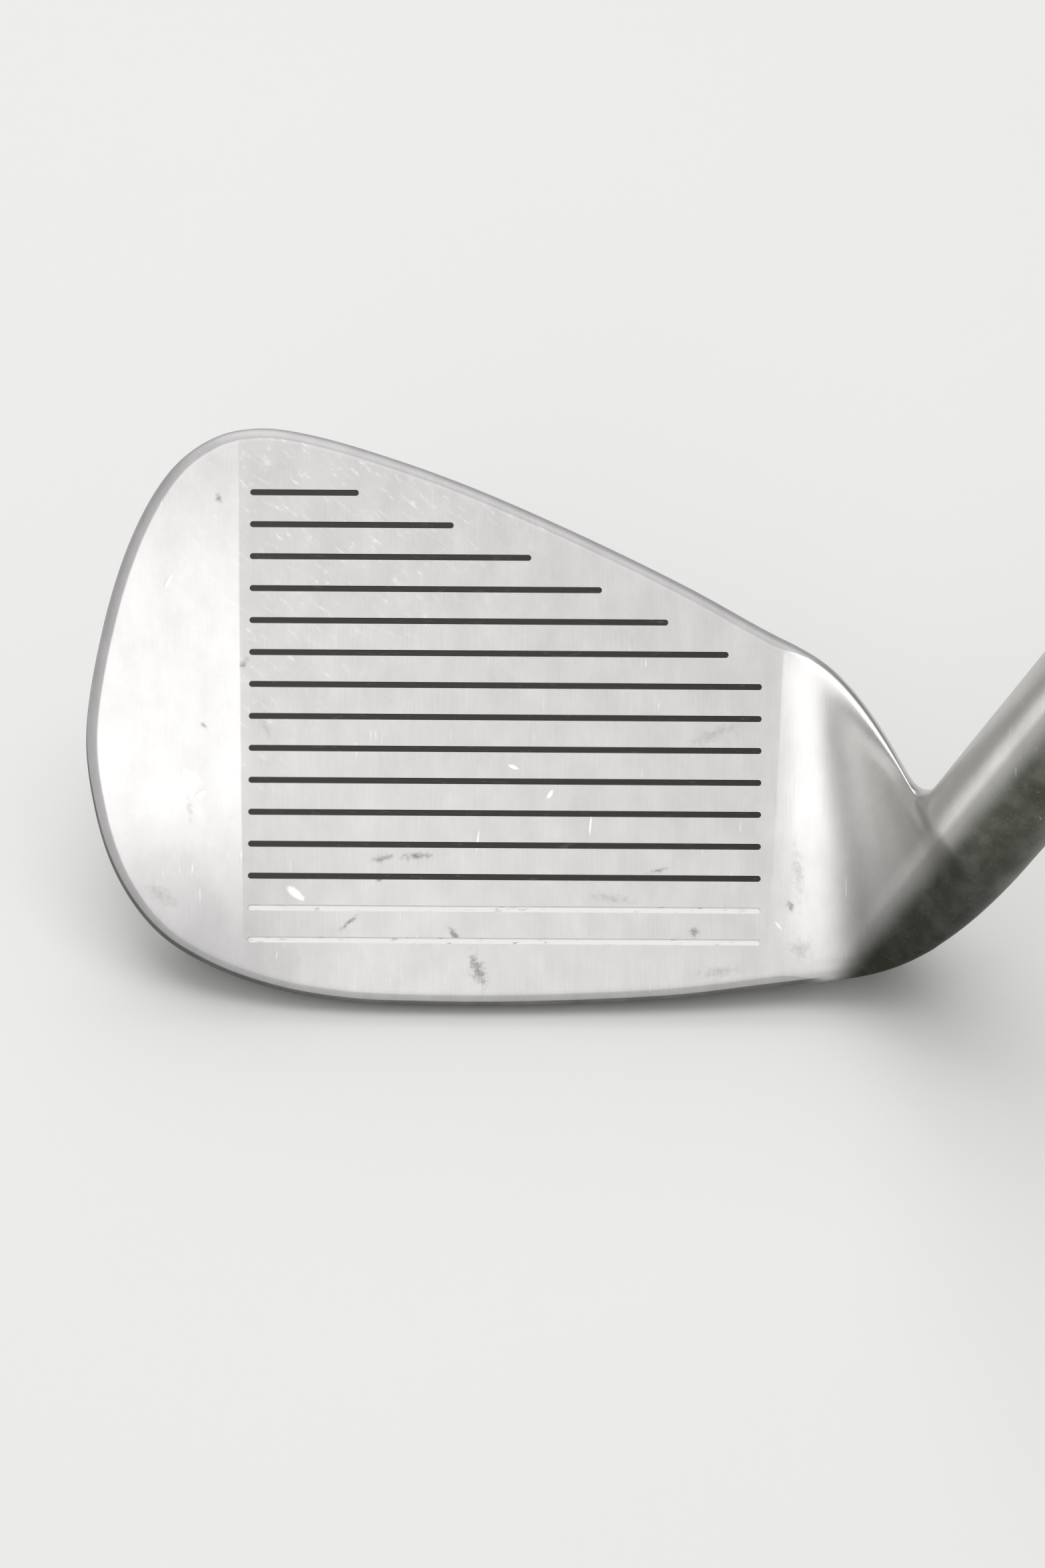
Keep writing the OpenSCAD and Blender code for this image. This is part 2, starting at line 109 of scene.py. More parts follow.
class IronClubSettings(bpy.types.PropertyGroup):
    """Sizes of the shaft, ferrule and grip, in millimetres."""

    tip_d: size_mm("Tip", "Diameter of the shaft's tip", 9.4)
    butt_d: size_mm("Butt", "Diameter of the shaft's butt", 15.2)
    shaft_wall: size_mm("Wall", "Wall of the shaft", 0.45)
    butt_len: size_mm("Butt length", "Length of the plain butt section", 278)
    step_count: IntProperty(name="Steps", description="Number of steps in the shaft", default=14)
    step_pitch: size_mm("Step distance", "Distance between the steps", 30)
    step_cone: size_mm("Step cone", "Length of the cone at each step", 1.2)
    weight_head: size_mm("Weight head", "Thickness of the tip weight's head", 2)
    band_t: size_mm("Band thickness", "Thickness of the film band", 0.12)
    band_len: size_mm("Band length", "Length of the film band", 24)
    ferrule_len: size_mm("Ferrule length", "Length of the ferrule", 22)
    ferrule_foot: size_mm("Ferrule foot", "Length of the ferrule's straight foot", 4)
    ferrule_lip: size_mm("Ferrule lip", "Wall of the ferrule at its thin end", 0.5)
    grip_len: size_mm("Grip length", "Length of the grip sleeve", 262)
    grip_mouth_d: size_mm("Grip mouth", "Diameter of the grip at its mouth", 18.6)
    grip_butt_d: size_mm("Grip butt", "Diameter of the grip below the cap", 26.6)
    grip_bore_d: size_mm("Grip bore", "Bore of the grip", 15.6)
    cap_d: size_mm("Cap", "Diameter of the cap", 29.6)
    cap_t: size_mm("Cap thickness", "Thickness of the cap", 4.2)
    vent_d: size_mm("Vent", "Diameter of the vent hole", 3)
    groove_w: size_mm("Groove width", "Width of the paint grooves in the grip", 1.6)
    groove_depth: size_mm("Groove depth", "Depth of the paint grooves in the grip", 0.5)
    dimple_depth: size_mm("Dimple depth", "Depth of the moulded dimples in the grip", 0.35)
    dimple_edge: size_mm("Dimple edge", "Width of the slope round a dimple", 0.22)


class IronFinishSettings(bpy.types.PropertyGroup):
    """Colours of the finishes, as sRGB hex values."""

    brushed: colour("Brushed steel", "Toe and heel of the head", "#DBD9D7")
    blasted: colour("Blasted steel", "Band across the face", "#D6D4D2")
    hosel: colour("Hosel steel", "Hosel of the head, tumbled", "#CAC8C5")
    # Painted turf reflection and shade on the hosel's lower side.
    painted_turf_reflection: colour("Hosel underside", "Steel darkened by the turf", "#4E5046")
    # Also the painted shade on the rounded edges, and the greyer low toe.
    edge: colour("Edge steel", "Topline, toe edge and sole", "#C0BEBF")
    stain: colour("Stain", "Marks of turf and ball on the steel", "#77736E")
    dark_paint: colour("Dark paint", "Paint in the upper score lines", "#0E0D0E")
    light_paint: colour("Light paint", "Paint in the low score lines and the grip's rings", "#F8F7F3")
    chrome: colour("Chrome", "Plating of the shaft", "#D9DADB")
    black_plastic: colour("Ferrule", "Plastic of the ferrule", "#0C0C0D")
    film: colour("Film", "Film of the band", "#191A1E")
    rubber: colour("Rubber", "Rubber of the grip and the cap", "#1B1B1C")
    badge: colour("Badge", "Anodised aluminium of the badge", "#33363B")
    foam: colour("Foam", "Foam tape under the badge", "#202020")
    glue: colour("Glue", "Epoxy in the hosel", "#D3BF87")
    weight: colour("Weight", "Brass of the tip weight", "#C9A45A")
    paper: colour("Tape", "Masking tape under the grip", "#D8C79B")
    floor: colour("Floor", "Paper of the floor", "#DEDEDC")


class IronStageSettings(bpy.types.PropertyGroup):
    """The camera, the floor and the lights."""

    aim: FloatVectorProperty(name="Aim", description="Point of the face that the camera looks at, in mm",
                             size=2, default=(1.96, 24.67))
    distance: size_mm("Distance", "Camera to the face", 350)
    roll: angle_deg("Roll", "Turn of the camera about its axis", 0.36)
    lens: FloatProperty(name="Lens", description="Focal length in mm", default=72.33, unit="CAMERA")
    floor_size: FloatProperty(name="Floor", description="Width of the floor", default=24, unit="LENGTH",
                              subtype="DISTANCE")
    world: FloatProperty(name="Room light", description="Strength of the light from the room", default=0.37)


# ---- Curves ----
def mix(a, b, t):
    return a + (b - a) * t


def ease(t):
    t = min(max(t, 0.0), 1.0)
    return t * t * (3 - 2 * t)


def corner(a, b, c, t):
    """A point of the quadratic curve from a to c that is drawn towards b."""
    return mix(mix(a, b, t), mix(b, c, t), t)


def curve_point(nodes, x):
    """A point of the smooth curve through the nodes, at node number x."""
    i = min(max(int(x), 0), len(nodes) - 2)
    t = x - i
    a, b, c, d = (nodes[min(max(i + j, 0), len(nodes) - 1)] for j in (-1, 0, 1, 2))
    return (b + (c - a) * (t / 2) + (2 * a - 5 * b + 4 * c - d) * (t * t / 2)
            + (3 * b - a - 3 * c + d) * (t**3 / 2))


def curve_way(nodes, x, reach=0.01):
    return (curve_point(nodes, x + reach) - curve_point(nodes, x - reach)).normalized()


# ---- The form of the head, in the face frame: u to the heel, v up the face, n out of the face ----
# Each rib joins a point of the topline to a point of the sole: shares of the reach and of the toe height.
TOE_NODE = (-1, 0.48)
RIB_NODES = (
    ((-0.96, 0.66), (-0.98, 0.34)), ((-0.895, 0.81), (-0.925, 0.22)), ((-0.81, 0.92), (-0.83, 0.125)),
    ((-0.71, 0.98), (-0.70, 0.065)), ((-0.60, 1.00), (-0.54, 0.025)), ((-0.475, 0.99), (-0.37, 0.005)),
    ((-0.30, 0.955), (-0.19, 0)), ((-0.085, 0.90), (0, 0)), ((0.265, 0.82), (0.33, 0.005)),
    ((0.665, 0.73), (0.665, 0.015)), ((1, 0.645), (1, 0.035)),
)
# The outline's node at the highest point of the topline.
CREST_X = len(RIB_NODES) - 4
# The first ribs, round the toe, run to a pole. At the toe the section is this share of the way from the
# topline's to the sole's.
TOE_RIBS = 6
POLE = (-0.43, 0.49)
TOE_SHARE = 0.36
# The neck's upper line, in shares of the way to the crotch, and its lower line, in mm from the blade's end.
NECK_TOP_SHARES = ((0.46, 0.17), (0.80, 0.43), (1, 0.72), (1.06, 1))
NECK_LOW_STEPS = ((5.4, 0.6), (10.2, 0.6), (14, 1), (17.5, 3))
# How late the neck turns round, and how much less its rings are drawn back at the crotch.
NECK_DELAY = 1.25
NECK_FAN = 0.6
# How far the leading edge stands out, the even strips beside the edges, and the slope of the back one.
LEAD_AHEAD = 0.8
FACE_STRIP = 1.2
BACK_STRIP = 1.5
BACK_SLOPE = 0.1
# A side of a rib is numbered by stations, which end each part of it.
FACE_END, FRONT_END, WALL_END, REAR_END, HALF_STATIONS = 4, 8, 12, 15, 20
# How finely the skin is laid out: steps for each blade span, the neck, the hosel and each station.
BLADE_STEPS = 12
NECK_STEPS = 80
HOSEL_STEPS = 10
STATION_STEPS = 4


class HeadForm:
    """Gives the points of the head's skin."""

    def __init__(self, head):
        self.head = head
        self.hosel_r = head.hosel_d / 2
        self.axis_back = self.hosel_r + LEAD_AHEAD - head.hosel_offset
        self.axis_u = head.heel_reach + head.heel_to_axis
        loft, lie = head.loft, head.lie
        self.axis_dir = Vector((cos(lie), sin(lie) * cos(loft), sin(lie) * sin(loft)))
        self.axis_foot = Vector((self.axis_u, self.axis_back * sin(loft), -self.axis_back * cos(loft)))
        self.front_dir = Vector((0, -sin(loft), cos(loft)))
        self.toe_dir = Vector((-sin(lie), cos(lie) * cos(loft), cos(lie) * sin(loft)))
        top_end, low_end = (self.on_blade(p) for p in RIB_NODES[-1])
        top_before, low_before = (self.on_blade(p) for p in RIB_NODES[-2])
        to_crotch = self.ring_point(head.neck_t, 90).to_2d() - top_end
        self.neck_top = [top_before, top_end] + [
            top_end + Vector((to_crotch.x * u, to_crotch.y * v)) for u, v in NECK_TOP_SHARES]
        self.neck_low = [low_before, low_end] + [low_end + Vector(step) for step in NECK_LOW_STEPS]
        self.outline = (
            [self.neck_top[2]] + [self.on_blade(top) for top, low in reversed(RIB_NODES)]
            + [self.on_blade(TOE_NODE)] + [self.on_blade(low) for top, low in RIB_NODES] + [self.neck_low[2]])
        self.toe_x = len(RIB_NODES) + 1

    def on_blade(self, share):
        reach = self.head.toe_reach if share[0] < 0 else self.head.heel_reach
        return Vector((share[0] * reach, share[1] * self.head.toe_height))

    def ring_point(self, t, degrees):
        angle = radians(degrees)
        return self.axis_foot + self.axis_dir * t + (
            self.front_dir * cos(angle) + self.toe_dir * sin(angle)) * self.hosel_r

    def section(self, q):
        """The corner points of the section across the edge, q from 0 at the topline to 1 at the sole."""
        head = self.head
        front = Vector((-LEAD_AHEAD * q, 0))
        depth = mix(head.topline_t, head.sole_w * cos(self.head.loft), q)
        rear = Vector((head.sole_w * sin(self.head.loft) * q * q, -depth))
        along = (rear - front).normalized()
        swell = 2 * mix(head.topline_belly, head.sole_belly, q)
        belly = mix(front, rear, 0.5) + Vector((along.y, -along.x)) * swell
        r1 = mix(head.edge_r, head.lead_r, q)
        face_side = Vector((front.x + r1, 0))
        back_side = rear + Vector((head.rear_r, BACK_SLOPE))
        return (face_side, front, front + (belly - front).normalized() * r1, belly,
                rear - (rear - belly).normalized() * head.rear_r, rear, back_side)

    def half_point(self, edge, inward, spine, section, station):
        """A point of one side of a rib by its station: 0 on the face, then round the edge, 20 at the back."""
        face_side, front, wall_front, belly, wall_rear, rear, back_side = section

        def placed(p):
            return Vector((*(edge + inward * p.x), p.y))

        def between(first, points):
            i = min(int(station - first), len(points) - 2)
            return mix(points[i], points[i + 1], station - first - i)

        if station <= FACE_END:
            on_face = placed(face_side + Vector((FACE_STRIP, 0)))
            middle = Vector((*spine, 0))
            outwards = [mix(middle, on_face, share) for share in (0, 0.45, 0.8, 1)]
            return between(0, outwards + [placed(face_side)])
        for first, last, bend in ((FACE_END, FRONT_END, (face_side, front, wall_front)),
                                  (FRONT_END, WALL_END, (wall_front, belly, wall_rear)),
                                  (WALL_END, REAR_END, (wall_rear, rear, back_side))):
            if station <= last:
                return placed(corner(*bend, (station - first) / (last - first)))
        on_back = placed(back_side + Vector((BACK_STRIP, BACK_SLOPE)))
        middle = Vector((*spine, -self.head.mid_t))
        inwards = [mix(on_back, middle, share) for share in (0, 0.27, 0.68, 0.9, 1)]
        return between(REAR_END, [placed(back_side)] + inwards)

    def blade_rib(self, j):
        """The two halves of the rib at node j of the blade."""
        top_x, low_x = self.toe_x - j, self.toe_x + j
        top, low = curve_point(self.outline, top_x), curve_point(self.outline, low_x)
        pole = Vector((POLE[0] * self.head.toe_reach, POLE[1] * self.head.toe_height))
        spine = pole if j <= TOE_RIBS else mix(pole, (top + low) / 2, ease((j - TOE_RIBS) / 3))
        turn = ease(j / TOE_RIBS)
        halves = []
        for edge, x, q in ((top, top_x, TOE_SHARE * (1 - turn)), (low, low_x, mix(TOE_SHARE, 1, turn))):
            way = curve_way(self.outline, x)
            inward, section = Vector((-way.y, way.x)), self.section(q)
            halves.append(lambda k, e=edge, i=inward, c=section: self.half_point(e, i, spine, c, k))
        return halves

    def neck_rib(self, s):
        """The two halves of the rib at share s of the neck, from the end of the blade to the round hosel."""
        x = 1 + s * (len(self.neck_top) - 2)
        top, low = curve_point(self.neck_top, x), curve_point(self.neck_low, x)
        top_way, low_way = curve_way(self.neck_top, x), curve_way(self.neck_low, x)
        spine = (top + low) / 2
        share = ease(s) ** NECK_DELAY
        back = self.head.neck_run * (1 - s)
        down, up = Vector((top_way.y, -top_way.x)), Vector((-low_way.y, low_way.x))
        halves = []
        for edge, inward, q, side in ((top, down, 0, 1), (low, up, 1, -1)):
            section = self.section(q)

            def half(k, e=edge, i=inward, c=section, side=side):
                degrees = side * 180 * k / HALF_STATIONS
                fan = 1 - NECK_FAN * sin(radians(degrees))
                ring = self.ring_point(self.head.neck_t - back * fan, degrees)
                return mix(self.half_point(e, i, spine, c, k), ring, share)

            halves.append(half)
        return halves

    def hosel_rib(self, t):
        return [lambda k, side=side: self.ring_point(t, side * 180 * k / HALF_STATIONS) for side in (1, -1)]

    def ribs(self):
        blade = [self.blade_rib(i / BLADE_STEPS) for i in range(len(RIB_NODES) * BLADE_STEPS)]
        neck = [self.neck_rib(i / NECK_STEPS) for i in range(NECK_STEPS + 1)]
        hosel = [self.hosel_rib(mix(self.head.neck_t, self.head.hosel_len, (i + 1) / HOSEL_STEPS))
                 for i in range(HOSEL_STEPS)]
        return blade + neck + hosel

    def line_end(self, v):
        """Where the score line at height v ends at the heel side."""
        head = self.head
        full, height = head.line_len / 2, v + head.line_margin
        if height <= curve_point(self.outline, 1).y:
            return full
        low, high, halvings = 1.0, float(CREST_X), 40
        for _ in range(halvings):
            middle = (low + high) / 2
            low, high = (middle, high) if curve_point(self.outline, middle).y < height else (low, middle)
        return min(full, curve_point(self.outline, low).x)


# ---- Places of the face and of the shaft on the ground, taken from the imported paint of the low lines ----
def face_place(head):
    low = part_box("score_line_paint_light")[0]
    v, deep, shallow = head.line_first - head.line_w / 2, head.line_depth, 0.12
    rise = (v * cos(head.loft) - deep * sin(head.loft)) * MM - low.z
    back = (v * sin(head.loft) + shallow * cos(head.loft)) * MM - low.y
    return (Matrix.Translation((0, -back, -rise)) @ Matrix.Rotation(pi / 2 - head.loft, 4, "X")
            @ Matrix.Scale(MM, 4))


def shaft_place(head):
    form = HeadForm(head)
    foot = face_place(head).translation
    return (Matrix.Translation(foot + Vector((form.axis_u, form.axis_back, 0)) * MM)
            @ Matrix.Rotation(pi / 2 - head.lie, 4, "Y") @ Matrix.Scale(MM, 4))


# ---- Making pieces ----
def finish_mesh(bm, name, place, crease=35):
    """Puts the mesh in its place, makes it an object and shades it smooth between its sharp edges."""
    bmesh.ops.transform(bm, matrix=place, verts=bm.verts)
    mesh = bpy.data.meshes.new(name)
    bm.to_mesh(mesh)
    bm.free()
    return show_mesh(mesh, name, crease)


def show_mesh(mesh, name, crease=35):
    mesh.shade_smooth()
    mesh.set_sharp_from_angle(angle=radians(crease))
    piece = bpy.data.objects.new(name, mesh)
    bpy.context.scene.collection.objects.link(piece)
    return piece


def keep_flat(piece, normal, large=4.0):
    """Leaves flat faces flat, so that smooth shading doesn't bend them: those that lie square to the normal,
    and the walls of the cuts, which are larger than any face of a skin, in square millimetres."""
    for polygon in piece.data.polygons:
        if abs(polygon.normal.dot(normal)) > 0.99999 or polygon.area > large * MM * MM:
            polygon.use_smooth = False


def stand_for(piece, material, *nodes):
    """The piece takes the place of its CAD nodes."""
    piece.data.materials.clear()
    piece.data.materials.append(material)
    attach(piece, "root")
    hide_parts(*nodes)
    return piece


def merged_copy(node):
    """A bmesh copy of a CAD node, in millimetres, with its triangles joined and its flat faces whole."""
    bm = bmesh.new()
    bm.from_mesh(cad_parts[node].data)
    bmesh.ops.scale(bm, vec=(1 / MM,) * 3, verts=bm.verts)
    bmesh.ops.remove_doubles(bm, verts=bm.verts, dist=0.002)
    bmesh.ops.dissolve_limit(bm, angle_limit=radians(1), verts=bm.verts, edges=bm.edges)
    return bm


def lathe(name, profile, place, turns=96, crease=35):
    """Spins a closed profile of (radius, height) about the shaft's axis."""
    bm = bmesh.new()
    verts = [bm.verts.new((r, 0, z)) for r, z in profile]
    edges = [bm.edges.new((verts[i - 1], verts[i])) for i in range(len(verts))]
    bmesh.ops.spin(bm, geom=verts + edges, cent=(0, 0, 0), axis=(0, 0, 1), angle=2 * pi, steps=turns,
                   use_merge=True)
    bmesh.ops.remove_doubles(bm, verts=bm.verts, dist=1e-4)
    bmesh.ops.delete(bm, geom=[e for e in bm.edges if not e.link_faces], context="EDGES")
    bmesh.ops.recalc_face_normals(bm, faces=bm.faces)
    return finish_mesh(bm, name, place, crease) if place else bm


def head_skin(form):
    """The closed skin of the head: a grid whose rows are the ribs, drawn onto the head's form."""
    ribs = form.ribs()
    half = HALF_STATIONS * STATION_STEPS
    rows, columns = len(ribs) - 1, 2 * half
    bm = bmesh.new()
    bmesh.ops.create_grid(bm, x_segments=rows, y_segments=columns, size=0.5)
    for vert in bm.verts:
        rib = ribs[round((vert.co.x + 0.5) * rows)]
        k = round((vert.co.y + 0.5) * columns)
        vert.co = rib[0](k / STATION_STEPS) if k <= half else rib[1]((columns - k) / STATION_STEPS)
    bmesh.ops.remove_doubles(bm, verts=bm.verts, dist=1e-4)
    # The neck is blended: its ribs and rings run into each other without a line.
    neck_start, neck_end, passes = form.head.heel_reach + 2.5, form.head.neck_t + 3, 24
    above_lead = 7
    neck = [vert for vert in bm.verts if vert.co.x > neck_start and vert.co.y > above_lead
            and (vert.co - form.axis_foot).dot(form.axis_dir) < neck_end]
    for _ in range(passes):
        bmesh.ops.smooth_vert(bm, verts=neck, factor=0.5, use_axis_x=True, use_axis_y=True, use_axis_z=True)
    bmesh.ops.holes_fill(bm, edges=[e for e in bm.edges if e.is_boundary], sides=0)
    # Triangles are plane, so the cuts leave plane faces at their edges.
    bmesh.ops.triangulate(bm, faces=bm.faces)
    bmesh.ops.recalc_face_normals(bm, faces=bm.faces)
    return bm


def draw_out(bm, faces, way):
    """Draws the faces out along a way, with walls behind them."""
    drawn = bmesh.ops.extrude_face_region(bm, geom=faces)["geom"]
    bmesh.ops.translate(bm, vec=way, verts=[part for part in drawn if isinstance(part, bmesh.types.BMVert)])


def slot_cutter(bm, u0, u1, v, width, depth):
    """A score line's cutter: a round cutter drawn out along the face."""
    turns = 24
    ring = bmesh.ops.create_circle(bm, cap_ends=True, segments=turns, radius=width / 2,
                                   matrix=Matrix.Rotation(pi / turns, 4, "Z"))["verts"]
    half = (u1 - u0 - width) / 2
    for vert in ring:
        vert.co += Vector(((u0 + u1) / 2 + (half if vert.co.x > 0 else -half), v, -depth))
    draw_out(bm, list({face for vert in ring for face in vert.link_faces}), (0, 0, depth + 1))


def line_cutters(form):
    """The cutters of all score lines, in the face frame."""
    head = form.head
    bm = bmesh.new()
    for i in range(head.line_count):
        v = head.line_first + i * head.line_pitch
        slot_cutter(bm, -head.line_len / 2, form.line_end(v), v, head.line_w, head.line_depth)
    bmesh.ops.recalc_face_normals(bm, faces=bm.faces)
    return bm


def cut_away(piece, *cutters):
    """Cuts the cutters out of the piece and deletes them."""
    for cutter in cutters:
        boolean = piece.modifiers.new("cut", "BOOLEAN")
        boolean.operation, boolean.solver, boolean.object = "DIFFERENCE", "EXACT", cutter
    graph = bpy.context.evaluated_depsgraph_get()
    mesh = bpy.data.meshes.new_from_object(piece.evaluated_get(graph))
    name = piece.name
    bpy.data.objects.remove(piece)
    for cutter in cutters:
        bpy.data.objects.remove(cutter)
    cut = show_mesh(mesh, name)
    even = cut.modifiers.new("even_shading", "WEIGHTED_NORMAL")
    even.keep_sharp = True
    return cut


# ---- Materials ----
# Settings of the nodes that are used most.
SMOOTH = {"interpolation_type": "SMOOTHSTEP"}
TIMES = {"operation": "MULTIPLY"}
TIMES_PLUS = {"operation": "MULTIPLY_ADD"}
MINUS = {"operation": "SUBTRACT"}
HIGHER = {"operation": "MAXIMUM"}
# The colour of bared metal at dings and scratches, also used for the painted highlight up the hosel.
BARE_METAL_AND_HIGHLIGHT = "#FBFAF8"


def linear(hex_colour):
    """An sRGB hex colour as a linear one."""
    parts = [int(hex_colour[i:i + 2], 16) / 255 for i in (1, 3, 5)]
    return (*(p / 12.92 if p <= 0.04045 else ((p + 0.055) / 1.055) ** 2.4 for p in parts), 1)


def add(tree, kind, inputs=(), out=0, **settings):
    """Adds a shader node with its settings, sets or links its inputs, which are given in order or by name,
    and returns one of its outputs."""
    made = tree.nodes.new("ShaderNode" + kind)
    for key, value in settings.items():
        setattr(made, key, value)
    for key, value in inputs.items() if isinstance(inputs, dict) else enumerate(inputs):
        if isinstance(value, bpy.types.NodeSocket):
            tree.links.new(value, made.inputs[key])
        else:
            made.inputs[key].default_value = value
    return made.outputs[out] if made.outputs else None


def new_material(name):
    material = bpy.data.materials.new(name)
    material.use_nodes = True
    material.node_tree.nodes.clear()
    return material, material.node_tree


def finished(material, looks, height, strength, depth_mm):
    """Ends a material with its looks and its bump, whose depth is in millimetres."""
    tree = material.node_tree
    bump = add(tree, "Bump", {"Height": height, "Strength": strength, "Distance": depth_mm * MM})
    add(tree, "OutputMaterial", {"Surface": add(tree, "BsdfPrincipled", {**looks, "Normal": bump})})
    return material


def coordinates(tree, place):
    """Object coordinates in the frame of a place, in millimetres."""
    location, rotation, scale = place.decompose()
    return add(tree, "Mapping", {
        "Vector": add(tree, "TexCoord", out="Object"), "Location": location,
        "Rotation": rotation.to_euler(), "Scale": scale}, vector_type="TEXTURE")


def pattern(tree, where, sizes, detail=3.0, roughness=0.55, turn=0):
    """Uneven grains of a size in millimetres, one for all axes or one for each, turned by some degrees."""
    sizes = sizes if isinstance(sizes, tuple) else (sizes,) * 3
    grains = add(tree, "Mapping", {"Vector": where, "Rotation": (0, 0, radians(turn)), "Scale": sizes},
                 vector_type="TEXTURE")
    return add(tree, "TexNoise", {"Vector": grains, "Scale": 1.0, "Detail": detail, "Roughness": roughness})


def layered(tree, colour, *layers):
    """Lays (mask, hex colour) layers over a colour, one after another."""
    for mask, upper in layers:
        colour = add(tree, "Mix", {0: mask, 6: colour, 7: linear(upper)}, out=2, data_type="RGBA")
    return colour


def marks(tree, where, places, soft, ragged):
    """A mask of ragged oval marks on the face: (u, v, half length, half width, turn in degrees)."""
    nearest = None
    for u, v, length, width, turn in places:
        local = add(tree, "Mapping", {
            "Vector": where, "Location": (u, v, 0), "Rotation": (0, 0, radians(turn)),
            "Scale": (length, width, MARK_DEPTH)}, vector_type="TEXTURE")
        away = add(tree, "VectorMath", (local,), out="Value", operation="LENGTH")
        nearest = away if nearest is None else add(tree, "Math", (nearest, away), operation="MINIMUM")
    wobble = add(tree, "Math", (pattern(tree, where, 0.625, 5.0, 0.75), 0.5), **MINUS)
    edge = add(tree, "Math", (wobble, 2 * ragged, nearest), **TIMES_PLUS)
    return add(tree, "MapRange", (edge, soft, 1, 1, 0), **SMOOTH)


# Marks that play has left on the face, by their places in the face frame.
MARK_DEPTH = 3
BRIGHT_DINGS = (
    (-35.0, 25.3, 1.5, 0.7, -40), (-33.8, 23.3, 0.8, 0.4, 30), (-23.2, 12.4, 1.5, 0.55, -38),
    (0.9, 26.6, 0.8, 0.25, -20), (5.0, 23.6, 0.7, 0.3, 60), (30.4, 9.2, 0.7, 0.2, -50),
    (-37.5, 47.0, 0.9, 0.3, 60), (9.5, 20.2, 1.3, 0.18, 85), (-3.0, 18.4, 1.4, 0.16, 85),
)
DARK_MARKS = (
    (-2.9, 3.9, 1.1, 2.7, 22), (-5.6, 8.0, 0.5, 1.5, 35), (-13.6, 16.3, 1.6, 0.5, 12),
    (-9.8, 16.6, 2.2, 0.55, 5), (-17.2, 9.2, 1.6, 0.35, 40), (17.2, 15.2, 1.3, 0.35, 10),
    (21.2, 8.3, 0.7, 0.9, 0), (-32.0, 56.2, 0.5, 0.7, 20), (-29.1, 37.8, 0.9, 0.5, 60),
    (-14.0, 14.2, 0.5, 0.8, 20), (-33.5, 31.0, 0.35, 0.6, 40), (31.8, 11.2, 0.5, 0.9, 20),
)
FAINT_SMUDGES = (
    (23.4, 30.4, 4.5, 1.1, 25), (-26.5, 30.6, 1.8, 0.6, -60), (-35.0, 21.5, 0.5, 2.0, 10),
    (12.0, 12.0, 3.5, 0.8, -8), (32.6, 15.0, 1.0, 4.5, 4), (33.0, 6.5, 2.0, 1.6, 0),
    (-38.0, 12.0, 2.5, 1.2, -35), (24.0, 4.0, 3.5, 0.9, 4),
)


def blasted_band(tree, u, v, n):
    """The mask of the blasted band, which is taped off along two nearly upright lines on the front."""
    tape_edge = 0.12
    left = add(tree, "Math", (v, -0.0165, -28.9), **TIMES_PLUS)
    right = add(tree, "Math", (v, 0.0417, 29.22), **TIMES_PLUS)
    past_left = add(tree, "Math", (u, left), **MINUS)
    before_right = add(tree, "Math", (right, u), **MINUS)
    band = add(tree, "Math", [add(tree, "MapRange", (side, -tape_edge, tape_edge, 0, 1), **SMOOTH)
                              for side in (past_left, before_right)], **TIMES)
    return add(tree, "Math", (band, add(tree, "MapRange", (n, -0.5, -0.1, 0, 1), **SMOOTH)), **TIMES)


def scratches(tree, face, u, v, n, band):
    """The mask of fine scratches on the front."""
    # Hair scratches from balls and bag run up the face, in some places only.
    hairs = pattern(tree, face, (0.4545, 4.545, 1.0), 2.0, 0.5)
    hairs = add(tree, "MapRange", (hairs, 0.67, 0.74, 0, 1), **SMOOTH)
    here = add(tree, "MapRange", (pattern(tree, face, 11.11, 2.0, 0.5), 0.48, 0.62, 0, 1), **SMOOTH)
    hairs = add(tree, "Math", (hairs, here), **TIMES)
    # Short scuffs lie slantwise where the ball is struck high on the toe, mostly on the soft blasted skin.
    scuffs = pattern(tree, face, (2.2, 0.7, 1.0), 4.0, 0.7, turn=-38)
    scuffs = add(tree, "MapRange", (scuffs, 0.54, 0.74, 0, 1), **SMOOTH)
    to_high_toe = add(tree, "MapRange", (add(tree, "Math", (v, u), **MINUS), 38, 66, 0.1, 0.9), **SMOOTH)
    on_soft_skin = add(tree, "Math", (band, 0.7, 0.3), **TIMES_PLUS)
    for share in (to_high_toe, on_soft_skin):
        scuffs = add(tree, "Math", (scuffs, share), **TIMES)
    on_front = add(tree, "MapRange", (n, -0.05, -0.01, 0, 0.55), **SMOOTH)
    return add(tree, "Math", (add(tree, "Math", (hairs, scuffs), **HIGHER), on_front), **TIMES)


def dirt(tree, face):
    """The mask of dark marks, faint smudges and the fine specks that the blasted skin holds."""
    dark = add(tree, "Math", (marks(tree, face, DARK_MARKS, -0.2, 1.5), 0.6), **TIMES)
    faint = add(tree, "Math", (marks(tree, face, FAINT_SMUDGES, -0.4, 1.6), 0.24), **TIMES)
    specks = add(tree, "MapRange", (pattern(tree, face, 0.5882, 3.0, 0.7), 0.70, 0.76, 0, 1), **SMOOTH)
    here = add(tree, "MapRange", (pattern(tree, face, 7.692, 2.0, 0.5), 0.5, 0.65, 0, 0.35), **SMOOTH)
    specks = add(tree, "Math", (specks, here), **TIMES)
    return add(tree, "Math", (add(tree, "Math", (dark, faint), **HIGHER), specks), **HIGHER)


